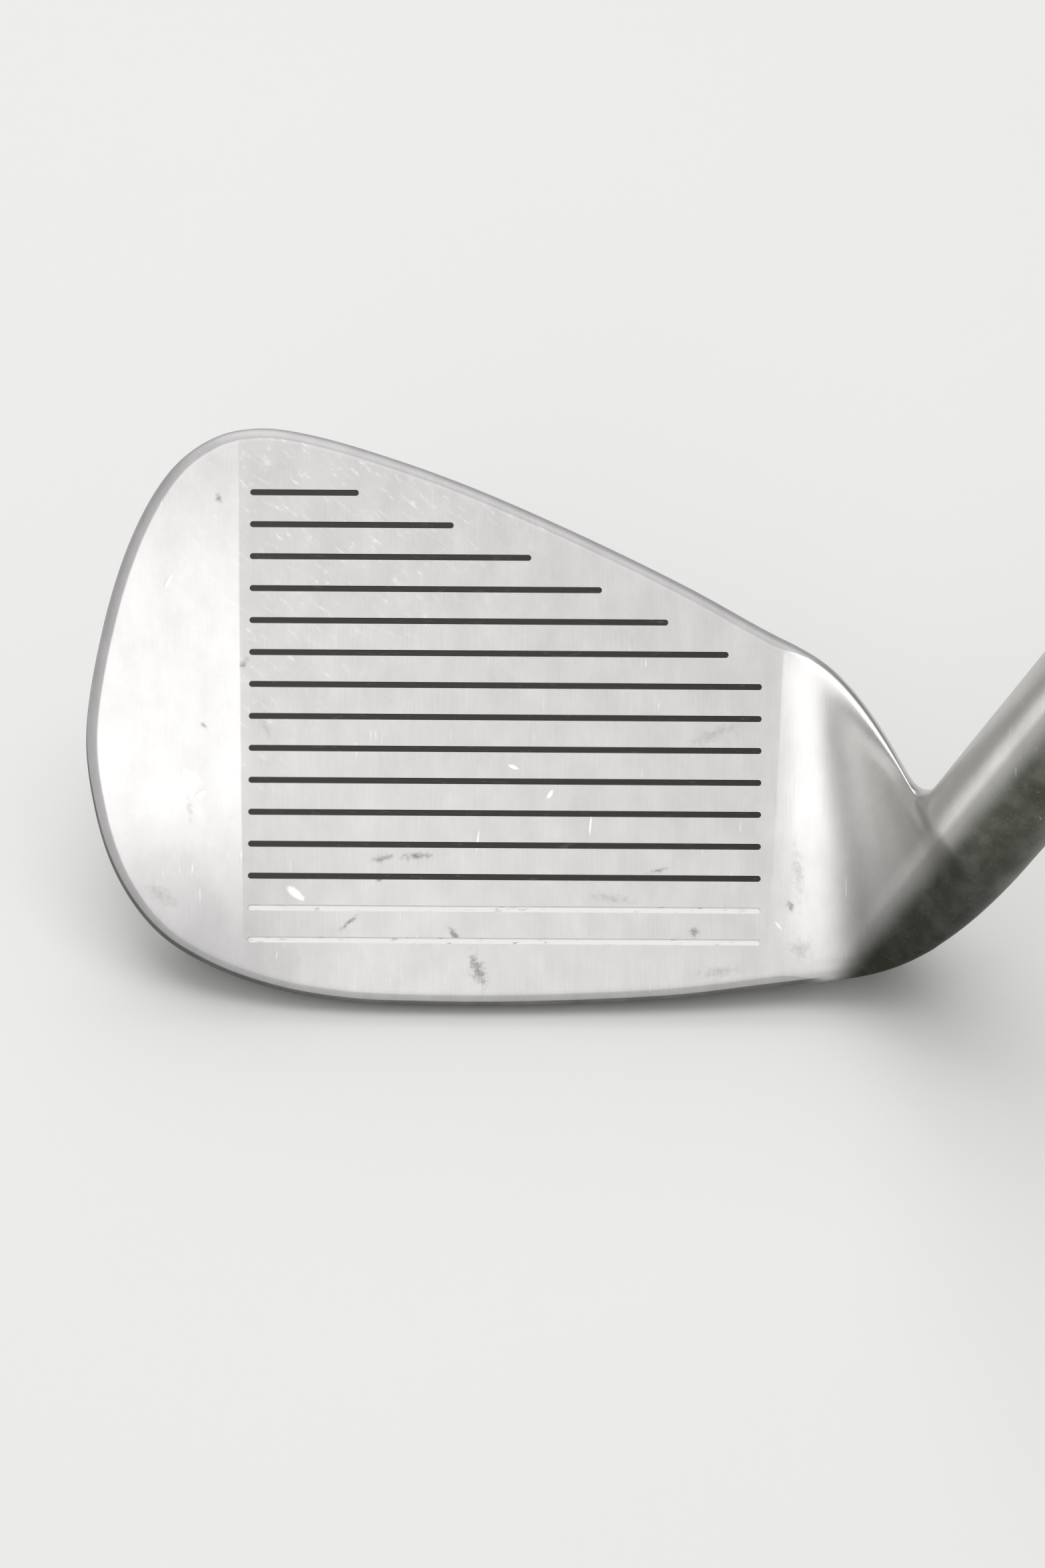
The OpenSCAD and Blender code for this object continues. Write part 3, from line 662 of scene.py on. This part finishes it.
def hosel_painted_light(tree, face, shaft, u, beads, patches):
    """The masks of a painted highlight line up the hosel, and of painted turf reflection and shade below it.
    """
    # The painted highlight line runs up from the heel of the leading edge and lies in one plane: the way to
    # its upper side, and how far from the middle of the low line that plane is.
    to_upper_side, ridge_reach = (-0.7686, 0.6294, -0.1141), 25.9
    over_ridge = add(tree, "VectorMath", (face, to_upper_side), out="Value", operation="DOT_PRODUCT")
    over_ridge = add(tree, "Math", (over_ridge, ridge_reach), operation="ADD")
    below = add(tree, "MapRange", (over_ridge, -2.4, 0.9, 1, 0), **SMOOTH)
    facing = add(tree, "SeparateXYZ", (add(tree, "NewGeometry", out="Normal"),)).node.outputs
    turned_down = add(tree, "MapRange", (facing["Z"], 0.24, 0.36, 0.8, 0), **SMOOTH)
    past_face = add(tree, "MapRange", (u, 33, 37, 0, 1), **SMOOTH)
    painted_turf_reflection = add(tree, "Mix", {0: past_face, 2: turned_down, 3: below}, data_type="FLOAT")
    # The painted reflection and shade fade towards the back, and further up the hosel.
    for value, near, far in ((facing["Y"], 0.1, 0.7), (u, 61, 74)):
        fade = add(tree, "MapRange", (value, near, far, 1, 0), **SMOOTH)
        painted_turf_reflection = add(tree, "Math", (painted_turf_reflection, fade), **TIMES)
    # Noise and the beads break the painted reflection up in spots.
    worn = add(tree, "MapRange", (pattern(tree, shaft, 4.545, 4.0, 0.6), 0.35, 0.75, 0, 1), **SMOOTH)
    sparkle = add(tree, "MapRange", (beads, 0.6, 0.75, 0, 1), **SMOOTH)
    still_dark = add(tree, "Math", (worn, -0.16, 1.0), **TIMES_PLUS)
    still_dark = add(tree, "Math", (sparkle, -0.15, still_dark), **TIMES_PLUS)
    painted_turf_reflection = add(tree, "Math", (painted_turf_reflection, still_dark), **TIMES)

    # The painted highlight is stronger where the patches are.
    painted_highlight = add(tree, "Math", (patches, 0.5, 0.6), use_clamp=True, **TIMES_PLUS)
    # It has a lower and an upper edge, and begins past the heel.
    for limit in ((over_ridge, 0.2, 1.0, 0, 1), (over_ridge, 1.2, 2.6, 1, 0), (u, 36, 52, 0, 1)):
        painted_highlight = add(tree, "Math", (painted_highlight, add(tree, "MapRange", limit, **SMOOTH)), **TIMES)
    return painted_highlight, painted_turf_reflection


def steel_material(head, finish):
    """Cast stainless steel, brushed by belt and glass-bead blasted across the face.
    The brushing gives soft bright streaks along the belt, the blasting a flat grey without streaks."""
    material, tree = new_material("Cast stainless steel, brushed and blasted")
    face = coordinates(tree, face_place(head))
    shaft = coordinates(tree, shaft_place(head))
    u, v, n = add(tree, "SeparateXYZ", (face,)).node.outputs
    band = blasted_band(tree, u, v, n)
    on_hosel = add(tree, "MapRange", (u, 34, 40, 0, 1), **SMOOTH)

    # Belt grain, drawn 0.12 mm wide so that it shows: up the face, and along the shaft on the hosel.
    up_face = pattern(tree, face, (0.125, 6.25, 0.125), 3.0, 0.6)
    along_hosel = pattern(tree, shaft, (0.1429, 0.1429, 8.333), 3.0, 0.6)
    grain = add(tree, "Mix", {0: on_hosel, 2: up_face, 3: along_hosel}, data_type="FLOAT")
    # Bead marks, the casting's slow waves, and patches that were pressed harder on the belt.
    beads = pattern(tree, face, 0.25, 2.0, 0.6)
    waves = pattern(tree, face, 8.333, 2.0, 0.5)
    patches = pattern(tree, face, (3.571, 6.25, 5.0), 4.0, 0.6)
    bright = marks(tree, face, BRIGHT_DINGS, 0.55, 0.45)
    scratched = scratches(tree, face, u, v, n, band)
    soil = dirt(tree, face)

    # The toe and heel lose their brightness high up, and low down, where the club meets the turf.
    low_wear = add(tree, "MapRange", (v, 2, 24, 0.95, 0), **SMOOTH)
    high_wear = add(tree, "MapRange", (v, 46, 62, 0, 0.6), **SMOOTH)
    dulled = add(tree, "Math", (band, add(tree, "Math", (low_wear, high_wear), **HIGHER)), **HIGHER)
    # The toe is greyer and darker low down.
    greyer_low_toe = add(tree, "Math", [add(tree, "MapRange", reach, **SMOOTH)
                                  for reach in ((v, 0, 26, 1, 0), (u, -36, -14, 1, 0))], **TIMES)
    # The rounded edges are tumbled, not brushed, and rougher; their greyer colour is painted shade along the
    # curve.
    rim = add(tree, "Math", [add(tree, "MapRange", reach, **SMOOTH)
                             for reach in ((n, -0.03, -0.004, 1, 0), (u, 36, 40, 1, 0))], **TIMES)
    # A painted highlight line up the hosel, and painted turf reflection and shade on its lower side.
    painted_highlight, painted_turf_reflection = hosel_painted_light(tree, face, shaft, u, beads, patches)
    metal = layered(tree, linear(finish.brushed), (dulled, finish.blasted), (greyer_low_toe, finish.edge),
                    (rim, finish.edge), (on_hosel, finish.hosel), (painted_highlight, BARE_METAL_AND_HIGHLIGHT),
                    (painted_turf_reflection, finish.painted_turf_reflection))

    # The tone changes with the patches and the grain. It falls towards the topline and low on the toe, and
    # painted shade darkens the scoop of the neck.
    painted_scoop_shade = add(tree, "Math", [add(tree, "MapRange", reach, **SMOOTH)
                               for reach in ((v, 6, 26, 0.55, 0), (u, 35, 40, 0, 1))], **TIMES)
    tone = add(tree, "Math", (patches, 0.30, 0.85), **TIMES_PLUS)
    for change in ((grain, 0.20, 0.90), (v, -0.0035, 1.11), (painted_scoop_shade, -1.0, 1.0), (greyer_low_toe, -0.16, 1.0)):
        tone = add(tree, "Math", (tone, add(tree, "Math", change, **TIMES_PLUS)), **TIMES)
    metal = add(tree, "VectorMath", {0: metal, 3: tone}, operation="SCALE")
    bared = add(tree, "Math", (bright, scratched), **HIGHER)
    metal = layered(tree, metal, (bared, BARE_METAL_AND_HIGHLIGHT), (soil, finish.stain))

    roughness = add(tree, "Mix", {0: dulled, 2: 0.34, 3: 0.5}, data_type="FLOAT")
    streaks = add(tree, "Math", (grain, 0.5), **MINUS)
    for value, change in ((streaks, 0.12), (soil, 0.25)):
        roughness = add(tree, "Math", (value, change, roughness), **TIMES_PLUS)
    roughness = add(tree, "Math", (roughness, add(tree, "Math", (rim, 0.6), **TIMES)), **HIGHER)

    # The band shows its beads and hardly any grain, and the brushed steel the other way round.
    grain_share = add(tree, "Math", (band, -0.7, 1.0), **TIMES_PLUS)
    bead_share = add(tree, "Math", (band, 0.9, 0.15), **TIMES_PLUS)
    height = add(tree, "Math", (grain, grain_share), **TIMES)
    for value, change in ((beads, bead_share), (bright, -2.5), (waves, 6.0)):
        height = add(tree, "Math", (value, change, height), **TIMES_PLUS)
    looks = {"Base Color": metal, "Metallic": 1.0, "Roughness": roughness}
    return finished(material, looks, height, 0.5, 0.012)


def paint_material(name, head, base, worn_tone, amount, gloss):
    """Air-drying enamel wiped into a groove: even and slightly glossy, with dirt where it has worn."""
    material, tree = new_material(name)
    where = coordinates(tree, face_place(head))
    worn = pattern(tree, where, (2.0, 0.5, 0.5), 4.0, 0.7)
    worn = add(tree, "MapRange", (worn, 0.56, 0.74, 0, amount), **SMOOTH)
    looks = {"Base Color": layered(tree, linear(base), (worn, worn_tone)),
             "Roughness": add(tree, "Math", (worn, 0.3, gloss), **TIMES_PLUS), "IOR": 1.5}
    return finished(material, looks, pattern(tree, where, 0.2), 0.4, 0.02)


def chrome_material(head, finish):
    """Nickel-chrome plated steel tube, polished before plating: bright and nearly mirror-like,
    with faint rings from the polishing and a light haze where hands and bags have rubbed it."""
    material, tree = new_material("Chrome plated steel, polished")
    where = coordinates(tree, shaft_place(head))
    rings = pattern(tree, where, (10.0, 10.0, 0.4545), 3.0, 0.6)
    haze = pattern(tree, where, (6.667, 6.667, 33.33), 4.0, 0.6)
    hazy = add(tree, "MapRange", (haze, 0.45, 0.75, 0, 0.35), **SMOOTH)
    looks = {"Base Color": layered(tree, linear(finish.chrome), (hazy, "#B9BABC")), "Metallic": 1.0,
             "Roughness": add(tree, "Math", (haze, 0.10, 0.06), **TIMES_PLUS)}
    return finished(material, looks, rings, 0.25, 0.004)


def plastic_material(name, place, base, rubbed_tone, rough, grain_mm, depth_mm, ior=1.5, coat=0.0):
    """A plastic or rubber: one colour with slow mottling, its own moulded grain and fine wear."""
    material, tree = new_material(name)
    where = coordinates(tree, place)
    mottle = pattern(tree, where, 6.667, 4.0, 0.6)
    rubbed = pattern(tree, where, (0.8333, 0.8333, 5.0), 4.0, 0.7)
    rubbed = add(tree, "MapRange", (rubbed, 0.52, 0.8, 0, 0.5), **SMOOTH)
    lighter = add(tree, "Math", (rubbed, add(tree, "Math", (mottle, 0.3), **TIMES)), **HIGHER)
    looks = {"Base Color": layered(tree, linear(base), (lighter, rubbed_tone)),
             "Roughness": add(tree, "Math", (mottle, 0.12, rough), **TIMES_PLUS), "IOR": ior,
             "Coat Weight": coat, "Coat Roughness": 0.08}
    return finished(material, looks, pattern(tree, where, grain_mm, 2.0, 0.6), 0.5, depth_mm)


def metal_material(name, place, base, light_tone, rough, line_sizes, patch_mm):
    """A worked metal: fine lines from the tool, along one way, and slow changes of tone."""
    material, tree = new_material(name)
    where = coordinates(tree, place)
    lines = pattern(tree, where, line_sizes, 3.0, 0.6)
    patches = pattern(tree, where, patch_mm, 3.0, 0.5)
    lighter = add(tree, "Math", (add(tree, "Math", (lines, patches), operation="ADD"), 0.4), **TIMES)
    looks = {"Base Color": layered(tree, linear(base), (lighter, light_tone)), "Metallic": 1.0,
             "Roughness": add(tree, "Math", (lines, 0.15, rough), **TIMES_PLUS)}
    return finished(material, looks, lines, 0.5, 0.01)


def dress(node, material):
    """Gives a carried-over CAD node its material."""
    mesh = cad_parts[node].data
    mesh.materials.clear()
    mesh.materials.append(material)


def settings(context, *names):
    """The groups of settings with these names: head, club, finish or stage."""
    return [getattr(context.scene, "iron_" + name) for name in names]


# ---- Operators ----
def bore_cutter(head):
    """The bore for the shaft, which runs a little out of the hosel's end."""
    foot, mouth, r = head.hosel_len - head.bore_depth, head.hosel_len + 2, head.bore_d / 2
    return lathe("bore_cutter", [(0, foot), (r, foot), (r, mouth), (0, mouth)], shaft_place(head))


def cavity_cutter(head):
    """The pocket behind the face: the foam tape's outline, set out by its gap to the wall, drawn out back."""
    gap = 1.6
    bm = merged_copy("badge_tape")
    to_face = face_place(head).inverted() @ Matrix.Scale(MM, 4)
    bmesh.ops.transform(bm, matrix=to_face, verts=bm.verts)
    front = max(bm.faces, key=lambda f: f.calc_center_median().z)
    bmesh.ops.delete(bm, geom=[f for f in bm.faces if f is not front], context="FACES")
    bmesh.ops.inset_region(bm, faces=bm.faces[:], thickness=gap, use_outset=True, use_even_offset=True,
                           use_boundary=True)
    bmesh.ops.dissolve_limit(bm, angle_limit=radians(0.5), verts=bm.verts, edges=bm.edges)
    draw_out(bm, bm.faces[:], (0, 0, -4 * head.mid_t))
    bmesh.ops.recalc_face_normals(bm, faces=bm.faces)
    return finish_mesh(bm, "cavity_cutter", face_place(head))


class IRON_OT_head(bpy.types.Operator):
    """Build the cast head with its score lines, cavity and shaft bore"""

    bl_idname = "iron.head"
    bl_label = "Build head"

    def execute(self, context):
        head, finish = settings(context, "head", "finish")
        form = HeadForm(head)
        place = face_place(head)
        skin = finish_mesh(head_skin(form), "cast_head", place)
        lines = finish_mesh(line_cutters(form), "line_cutters", place)
        piece = cut_away(skin, lines, cavity_cutter(head), bore_cutter(head))
        keep_flat(piece, place.to_quaternion() @ Vector((0, 0, 1)))
        stand_for(piece, steel_material(head, finish), "clubhead")
        return {"FINISHED"}


class IRON_OT_paint(bpy.types.Operator):
    """Give the paint in the score lines and in the grip's rings its enamel"""

    bl_idname = "iron.paint"
    bl_label = "Paint lines and rings"

    def execute(self, context):
        head, finish = settings(context, "head", "finish")
        for node, name, base, worn_tone, amount, gloss in (
            ("score_line_paint_dark", "Black enamel, wiped in",
             finish.dark_paint, "#5A544D", 0.7, 0.35),
            ("score_line_paint_light", "White enamel, wiped in and worn",
             finish.light_paint, "#8A8377", 0.8, 0.5),
            ("grip_paint", "White enamel, brushed on rubber",
             finish.light_paint, "#A9A59C", 0.4, 0.45),
        ):
            dress(node, paint_material(name, head, base, worn_tone, amount, gloss))
        return {"FINISHED"}


class IRON_OT_badge(bpy.types.Operator):
    """Build the cavity's badge, with broken edges"""

    bl_idname = "iron.badge"
    bl_label = "Build badge"

    def execute(self, context):
        head, finish = settings(context, "head", "finish")
        broken_edge, sharpest = 0.18, radians(40)
        bm = merged_copy("cavity_badge")
        sharp = [e for e in bm.edges if e.is_manifold and e.calc_face_angle() > sharpest]
        bmesh.ops.bevel(bm, geom=sharp, offset=broken_edge, segments=2, profile=0.5, affect="EDGES",
                        material=-1, clamp_overlap=True)
        badge = finish_mesh(bm, "badge_plate", Matrix.Scale(MM, 4))
        # Anodised aluminium, brushed across: a dark satin metal with fine lines.
        anodised = metal_material("Aluminium, brushed and anodised", face_place(head), finish.badge,
                                  "#4C5057", 0.32, (8.333, 0.1667, 0.1667), 12.5)
        stand_for(badge, anodised, "cavity_badge")
        return {"FINISHED"}


class IRON_OT_inside(bpy.types.Operator):
    """Finish what is inside the joints: the foam and paper tapes, the glue and the tip weight"""

    bl_idname = "iron.inside"
    bl_label = "Finish inside pieces"

    def execute(self, context):
        head, finish = settings(context, "head", "finish")
        place = shaft_place(head)
        # Acrylic foam: a dull, slightly open skin.
        foam = plastic_material("Acrylic foam tape", face_place(head), finish.foam, "#2C2C2C",
                                0.8, 0.4, 0.06)
        dress("badge_tape", foam)
        # Cured epoxy: amber and glassy, with small bubbles.
        epoxy = plastic_material("Epoxy, cured", place, finish.glue, "#E2D3A4", 0.25, 0.8, 0.02, 1.55)
        dress("hosel_glue", epoxy)
        # Turned brass: bright yellow with fine turning lines.
        brass = metal_material("Brass, turned", place, finish.weight, "#DDBB77",
                               0.25, (5.0, 5.0, 0.1111), 10.0)
        dress("tip_weight", brass)
        # Crepe paper tape: pale tan with crinkles across the roll.
        crepe = plastic_material("Crepe paper tape", place, finish.paper, "#E8DAB6", 0.75, 0.9, 0.08)
        dress("grip_tape", crepe)
        return {"FINISHED"}


class IRON_OT_ferrule(bpy.types.Operator):
    """Build the ferrule with its two turned rings"""

    bl_idname = "iron.ferrule"
    bl_label = "Build ferrule"

    def execute(self, context):
        head, club, finish = settings(context, "head", "club", "finish")
        foot, top = head.hosel_len, head.hosel_len + club.ferrule_len
        r, lip, bore = head.hosel_d / 2, club.tip_d / 2 + club.ferrule_lip, club.tip_d / 2
        chamfer, ring_depth, ring_slope, ring_w = 0.15, 0.18, 0.2, 0.8
        outside = [(bore, foot), (r - chamfer, foot), (r, foot + chamfer)]
        for ring in (foot + 1.4, foot + 2.6):
            outside += [(r, ring), (r - ring_depth, ring + ring_slope),
                        (r - ring_depth, ring + ring_w - ring_slope), (r, ring + ring_w)]
        curve_steps, taper_foot = 40, foot + club.ferrule_foot
        for i in range(curve_steps):
            share = i / curve_steps
            outside.append((mix(r, lip, sin(pi / 2 * share)), mix(taper_foot, top, share)))
        end_round = ((0, 0.3), (0.1, 0.06), (0.25, 0))
        outside += [(lip - inward, top - down) for inward, down in end_round] + [(bore, top)]
        ferrule = lathe("ferrule_collar", outside, shaft_place(head), crease=30)
        # Cellulose acetate, turned and wiped with solvent: deep black with a high gloss.
        acetate = plastic_material("Cellulose acetate, polished", shaft_place(head), finish.black_plastic,
                                   "#1D1D1F", 0.12, 1.5, 0.004, 1.48, 0.5)
        stand_for(ferrule, acetate, "ferrule")
        return {"FINISHED"}


def shaft_top(head, club):
    """The shaft's upper end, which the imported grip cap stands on."""
    to_shaft = shaft_place(head).inverted()
    return max((to_shaft @ v.co).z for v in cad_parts["grip_cap"].data.vertices) - club.cap_t


def shaft_step(head, club, number):
    """The shaft's radius above a step, by the step's number from the butt, and the step's height."""
    r = mix(club.butt_d, club.tip_d, number / club.step_count) / 2
    return r, shaft_top(head, club) - club.butt_len - number * club.step_pitch


class IRON_OT_shaft(bpy.types.Operator):
    """Build the stepped shaft"""

    bl_idname = "iron.shaft"
    bl_label = "Build shaft"

    def execute(self, context):
        head, club, finish = settings(context, "head", "club", "finish")
        cone_steps, soft_end = 6, 0.5
        outside = [(club.butt_d / 2, shaft_top(head, club))]
        for k in range(club.step_count):
            r, z = shaft_step(head, club, k)
            below = shaft_step(head, club, k + 1)[0]
            high, low = z + soft_end, z - club.step_cone - soft_end
            outside += [(mix(r, below, ease(i / cone_steps)), mix(high, low, i / cone_steps))
                        for i in range(cone_steps + 1)]
        outside.append((club.tip_d / 2, head.hosel_len - head.bore_depth + club.weight_head))
        profile = outside + [(r - club.shaft_wall, z) for r, z in reversed(outside)]
        shaft = lathe("shaft_tube", profile, shaft_place(head), crease=40)
        stand_for(shaft, chrome_material(head, finish), "shaft")
        return {"FINISHED"}


class IRON_OT_band(bpy.types.Operator):
    """Build the plain film band on the shaft"""

    bl_idname = "iron.band"
    bl_label = "Build band"

    def execute(self, context):
        head, club, finish = settings(context, "head", "club", "finish")
        on_step, edge_w, edge_drop = 3, 0.08, 0.04
        r, step_z = shaft_step(head, club, on_step)
        outer = r + club.band_t
        middle = step_z + (club.step_pitch - club.step_cone) / 2
        low, high = middle - club.band_len / 2, middle + club.band_len / 2
        profile = [(r, low), (outer - edge_drop, low), (outer, low + edge_w),
                   (outer, high - edge_w), (outer - edge_drop, high), (r, high)]
        band = lathe("film_band", profile, shaft_place(head), crease=50)
        # Polyester film under a clear coat: an even dark gloss.
        film = plastic_material("Polyester film, coated", shaft_place(head), finish.film, "#26272C",
                                0.25, 2.0, 0.003, 1.55, 0.6)
        stand_for(band, film, "shaft_band")
        return {"FINISHED"}


class IRON_OT_grip(bpy.types.Operator):
    """Build the rubber grip with its moulded dimples and its grooves for paint"""

    bl_idname = "iron.grip"
    bl_label = "Build grip"

    def execute(self, context):
        head, club, finish = settings(context, "head", "club", "finish")
        top = shaft_top(head, club)
        foot = top - club.grip_len
        swell, mouth_round, turns = 1.3, 0.8, 56
        ring_places = (6, 232, 237)
        plain_heights = [3.0, 10.0, 234.5, 242.0, 250.0, club.grip_len]
        first, last, row = 14, 226, 2.0

        def radius(height):
            return mix(club.grip_mouth_d, club.grip_butt_d, (height / club.grip_len) ** swell) / 2

        outside = [(radius(0) - mouth_round, foot), (radius(0) - 0.25, foot + 0.2),
                   (radius(mouth_round), foot + mouth_round)]
        heights = plain_heights + [first + row * i for i in range(int((last - first) / row) + 1)]
        wall = 0.001
        for ring in ring_places:
            heights += [ring, ring + wall, ring + club.groove_w - wall, ring + club.groove_w]
        for height in sorted(set(heights)):
            groove = [ring for ring in ring_places if ring < height < ring + club.groove_w]
            r = radius(groove[0]) - club.groove_depth if groove else radius(height)
            outside.append((r, foot + height))
        bore_r, butt_r, bore_step = club.grip_bore_d / 2, club.butt_d / 2, foot + 3
        inside = [(bore_r, top), (bore_r, bore_step), (butt_r, bore_step), (butt_r, foot)]
        bm = lathe("", outside + inside, None, turns)

        # Every other face of the patterned length is a moulded dimple, so they stand as on a chequered board.
        # Faces nearer to the axis than this are the bore's.
        skin_r, dimples = bore_r + 0.8, []
        for face in bm.faces:
            middle = face.calc_center_median()
            height = middle.z - foot
            if middle.to_2d().length > skin_r and first < height < last:
                around = middle.to_2d().angle_signed(Vector((1, 0))) / (2 * pi) % 1
                if (int(around * turns) + int((height - first) / row)) % 2 == 0:
                    dimples.append(face)
        bmesh.ops.inset_individual(bm, faces=dimples, thickness=club.dimple_edge,
                                   depth=-club.dimple_depth, use_even_offset=True)
        grip = finish_mesh(bm, "grip_sleeve", shaft_place(head))
        # Natural rubber from a blasted mould: matt and dark, dusty on its high places.
        rubber = plastic_material("Natural rubber, moulded", shaft_place(head), finish.rubber, "#343434",
                                  0.62, 0.35, 0.03, 1.52)
        stand_for(grip, rubber, "grip")
        return {"FINISHED"}


class IRON_OT_cap(bpy.types.Operator):
    """Build the grip's cap with its vent hole"""

    bl_idname = "iron.cap"
    bl_label = "Build cap"

    def execute(self, context):
        head, club, finish = settings(context, "head", "club", "finish")
        foot = shaft_top(head, club)
        end = foot + club.cap_t
        cap_r, vent_r = club.cap_d / 2, club.vent_d / 2
        rim, rim_steps, chamfer = 1.4, 8, 0.3
        profile = [(vent_r, foot), (club.grip_butt_d / 2, foot),
                   (cap_r - chamfer, foot + 0.4), (cap_r, foot + 0.8)]
        for i in range(rim_steps + 1):
            angle = pi / 2 * i / rim_steps
            profile.append((cap_r - rim + rim * cos(angle), end - rim + rim * sin(angle)))
        ring_depth, ring_slope = 0.4, 0.2
        for outer, inner in ((10.4, 9.2), (5.2, 4.2)):
            profile += [(outer, end), (outer - ring_slope, end - ring_depth),
                        (inner + ring_slope, end - ring_depth), (inner, end)]
        profile += [(vent_r + chamfer, end), (vent_r, end - chamfer)]
        cap = lathe("grip_end_cap", profile, shaft_place(head), crease=30)
        # The cap is moulded against a polished tool, so it is smoother than the sleeve.
        rubber = plastic_material("Natural rubber, smooth moulded", shaft_place(head), finish.rubber,
                                  "#2E2E2E", 0.45, 0.5, 0.02, 1.52)
        stand_for(cap, rubber, "grip_cap")
        return {"FINISHED"}


def studio_floor(finish, stage):
    bm = bmesh.new()
    bmesh.ops.create_grid(bm, x_segments=2, y_segments=2, size=stage.floor_size / 2)
    floor = finish_mesh(bm, "studio_floor", Matrix.Identity(4))
    # Matt paper: pale and even, with a faint change of tone.
    material, tree = new_material("Paper, matt")
    where = add(tree, "TexCoord", out="Object")
    cloudy = add(tree, "TexNoise", {"Vector": where, "Scale": 3.0, "Detail": 3.0, "Roughness": 0.55})
    looks = {"Base Color": layered(tree, linear(finish.floor), (cloudy, "#D8D8D6")), "Roughness": 0.85}
    add(tree, "OutputMaterial", {"Surface": add(tree, "BsdfPrincipled", looks)})
    floor.data.materials.append(material)


def studio_world(stage):
    """A plain room: white overhead and a little darker at the floor."""
    world = bpy.data.worlds.new("studio")
    world.use_nodes = True
    tree = world.node_tree
    tree.nodes.clear()
    height = add(tree, "SeparateXYZ", (add(tree, "TexCoord", out="Generated"),), out="Z")
    upwards = add(tree, "MapRange", (height, -0.1, 0.9, 0, 1), **SMOOTH)
    sky = layered(tree, linear("#D2D3D5"), (upwards, "#FFFFFF"))
    add(tree, "OutputWorld", {"Surface": add(tree, "Background", {"Color": sky, "Strength": stage.world})})
    return world


class IRON_OT_stage(bpy.types.Operator):
    """Set up the floor, the studio light and the camera"""

    bl_idname = "iron.stage"
    bl_label = "Set stage"

    def execute(self, context):
        head, finish, stage = settings(context, "head", "finish", "stage")
        scene = context.scene
        studio_floor(finish, stage)
        scene.world = studio_world(stage)
        place = face_place(head)
        middle = place @ Vector((*stage.aim, 0))
        # Name, where it stands, width and height, and brightness of each soft light.
        for name, spot, size, brightness in (
            ("soft_key", (-0.42, -1.43, 1.40), (1.3, 1.9), 1.35),
            ("soft_back", (-0.5, 1.6, 1.6), (2.2, 1.2), 2.6),
            ("soft_top", (0.15, 0.1, 2.1), (1.5, 1.5), 3.0),
            ("soft_left", (-2.2, -0.5, 0.9), (1.8, 1.4), 0.8),
        ):
            lamp = bpy.data.lights.new(name, "AREA")
            lamp.shape, lamp.size, lamp.size_y = "RECTANGLE", *size
            lamp.energy = brightness * pi * size[0] * size[1]
            light = bpy.data.objects.new(name, lamp)
            light.location = spot
            light.rotation_euler = (Vector(spot) - middle).to_track_quat("Z", "Y").to_euler()
            light.visible_camera = False
            scene.collection.objects.link(light)

        camera = bpy.data.objects.new("camera", bpy.data.cameras.new("camera"))
        camera.data.lens, camera.data.sensor_width, camera.data.clip_start = stage.lens, 36, 0.01
        turn = place.to_quaternion().to_matrix().to_4x4() @ Matrix.Rotation(stage.roll, 4, "Z")
        camera.matrix_world = Matrix.Translation(place @ Vector((*stage.aim, stage.distance))) @ turn
        scene.collection.objects.link(camera)
        scene.camera = camera
        scene.view_settings.view_transform = "Standard"
        return {"FINISHED"}


class IRON_PT_panel(bpy.types.Panel):
    """The iron's builders and sizes"""

    bl_idname = "IRON_PT_panel"
    bl_label = "Iron golf club"
    bl_space_type = "VIEW_3D"
    bl_region_type = "UI"
    bl_category = "Iron"

    def draw(self, context):
        for operator in OPERATORS:
            self.layout.operator(operator.bl_idname)
        for group in settings(context, "head", "club", "finish", "stage"):
            box = self.layout.box()
            for name in group.bl_rna.properties.keys():
                if name not in ("rna_type", "name"):
                    box.prop(group, name)


GROUPS = {"iron_head": IronHeadSettings, "iron_club": IronClubSettings, "iron_finish": IronFinishSettings,
          "iron_stage": IronStageSettings}
OPERATORS = (IRON_OT_head, IRON_OT_paint, IRON_OT_badge, IRON_OT_inside, IRON_OT_ferrule, IRON_OT_shaft,
             IRON_OT_band, IRON_OT_grip, IRON_OT_cap, IRON_OT_stage)


def register():
    for item in (*GROUPS.values(), *OPERATORS, IRON_PT_panel):
        bpy.utils.register_class(item)
    for name, group in GROUPS.items():
        setattr(bpy.types.Scene, name, PointerProperty(type=group))


def unregister():
    for name in GROUPS:
        delattr(bpy.types.Scene, name)
    for item in reversed((*GROUPS.values(), *OPERATORS, IRON_PT_panel)):
        bpy.utils.unregister_class(item)


def main():
    register()
    iron = bpy.ops.iron
    for build in (iron.head, iron.paint, iron.badge, iron.inside, iron.ferrule, iron.shaft, iron.band,
                  iron.grip, iron.cap, iron.stage):
        build()
    bpy.context.view_layer.update()


if __name__ == "__main__":
    main()
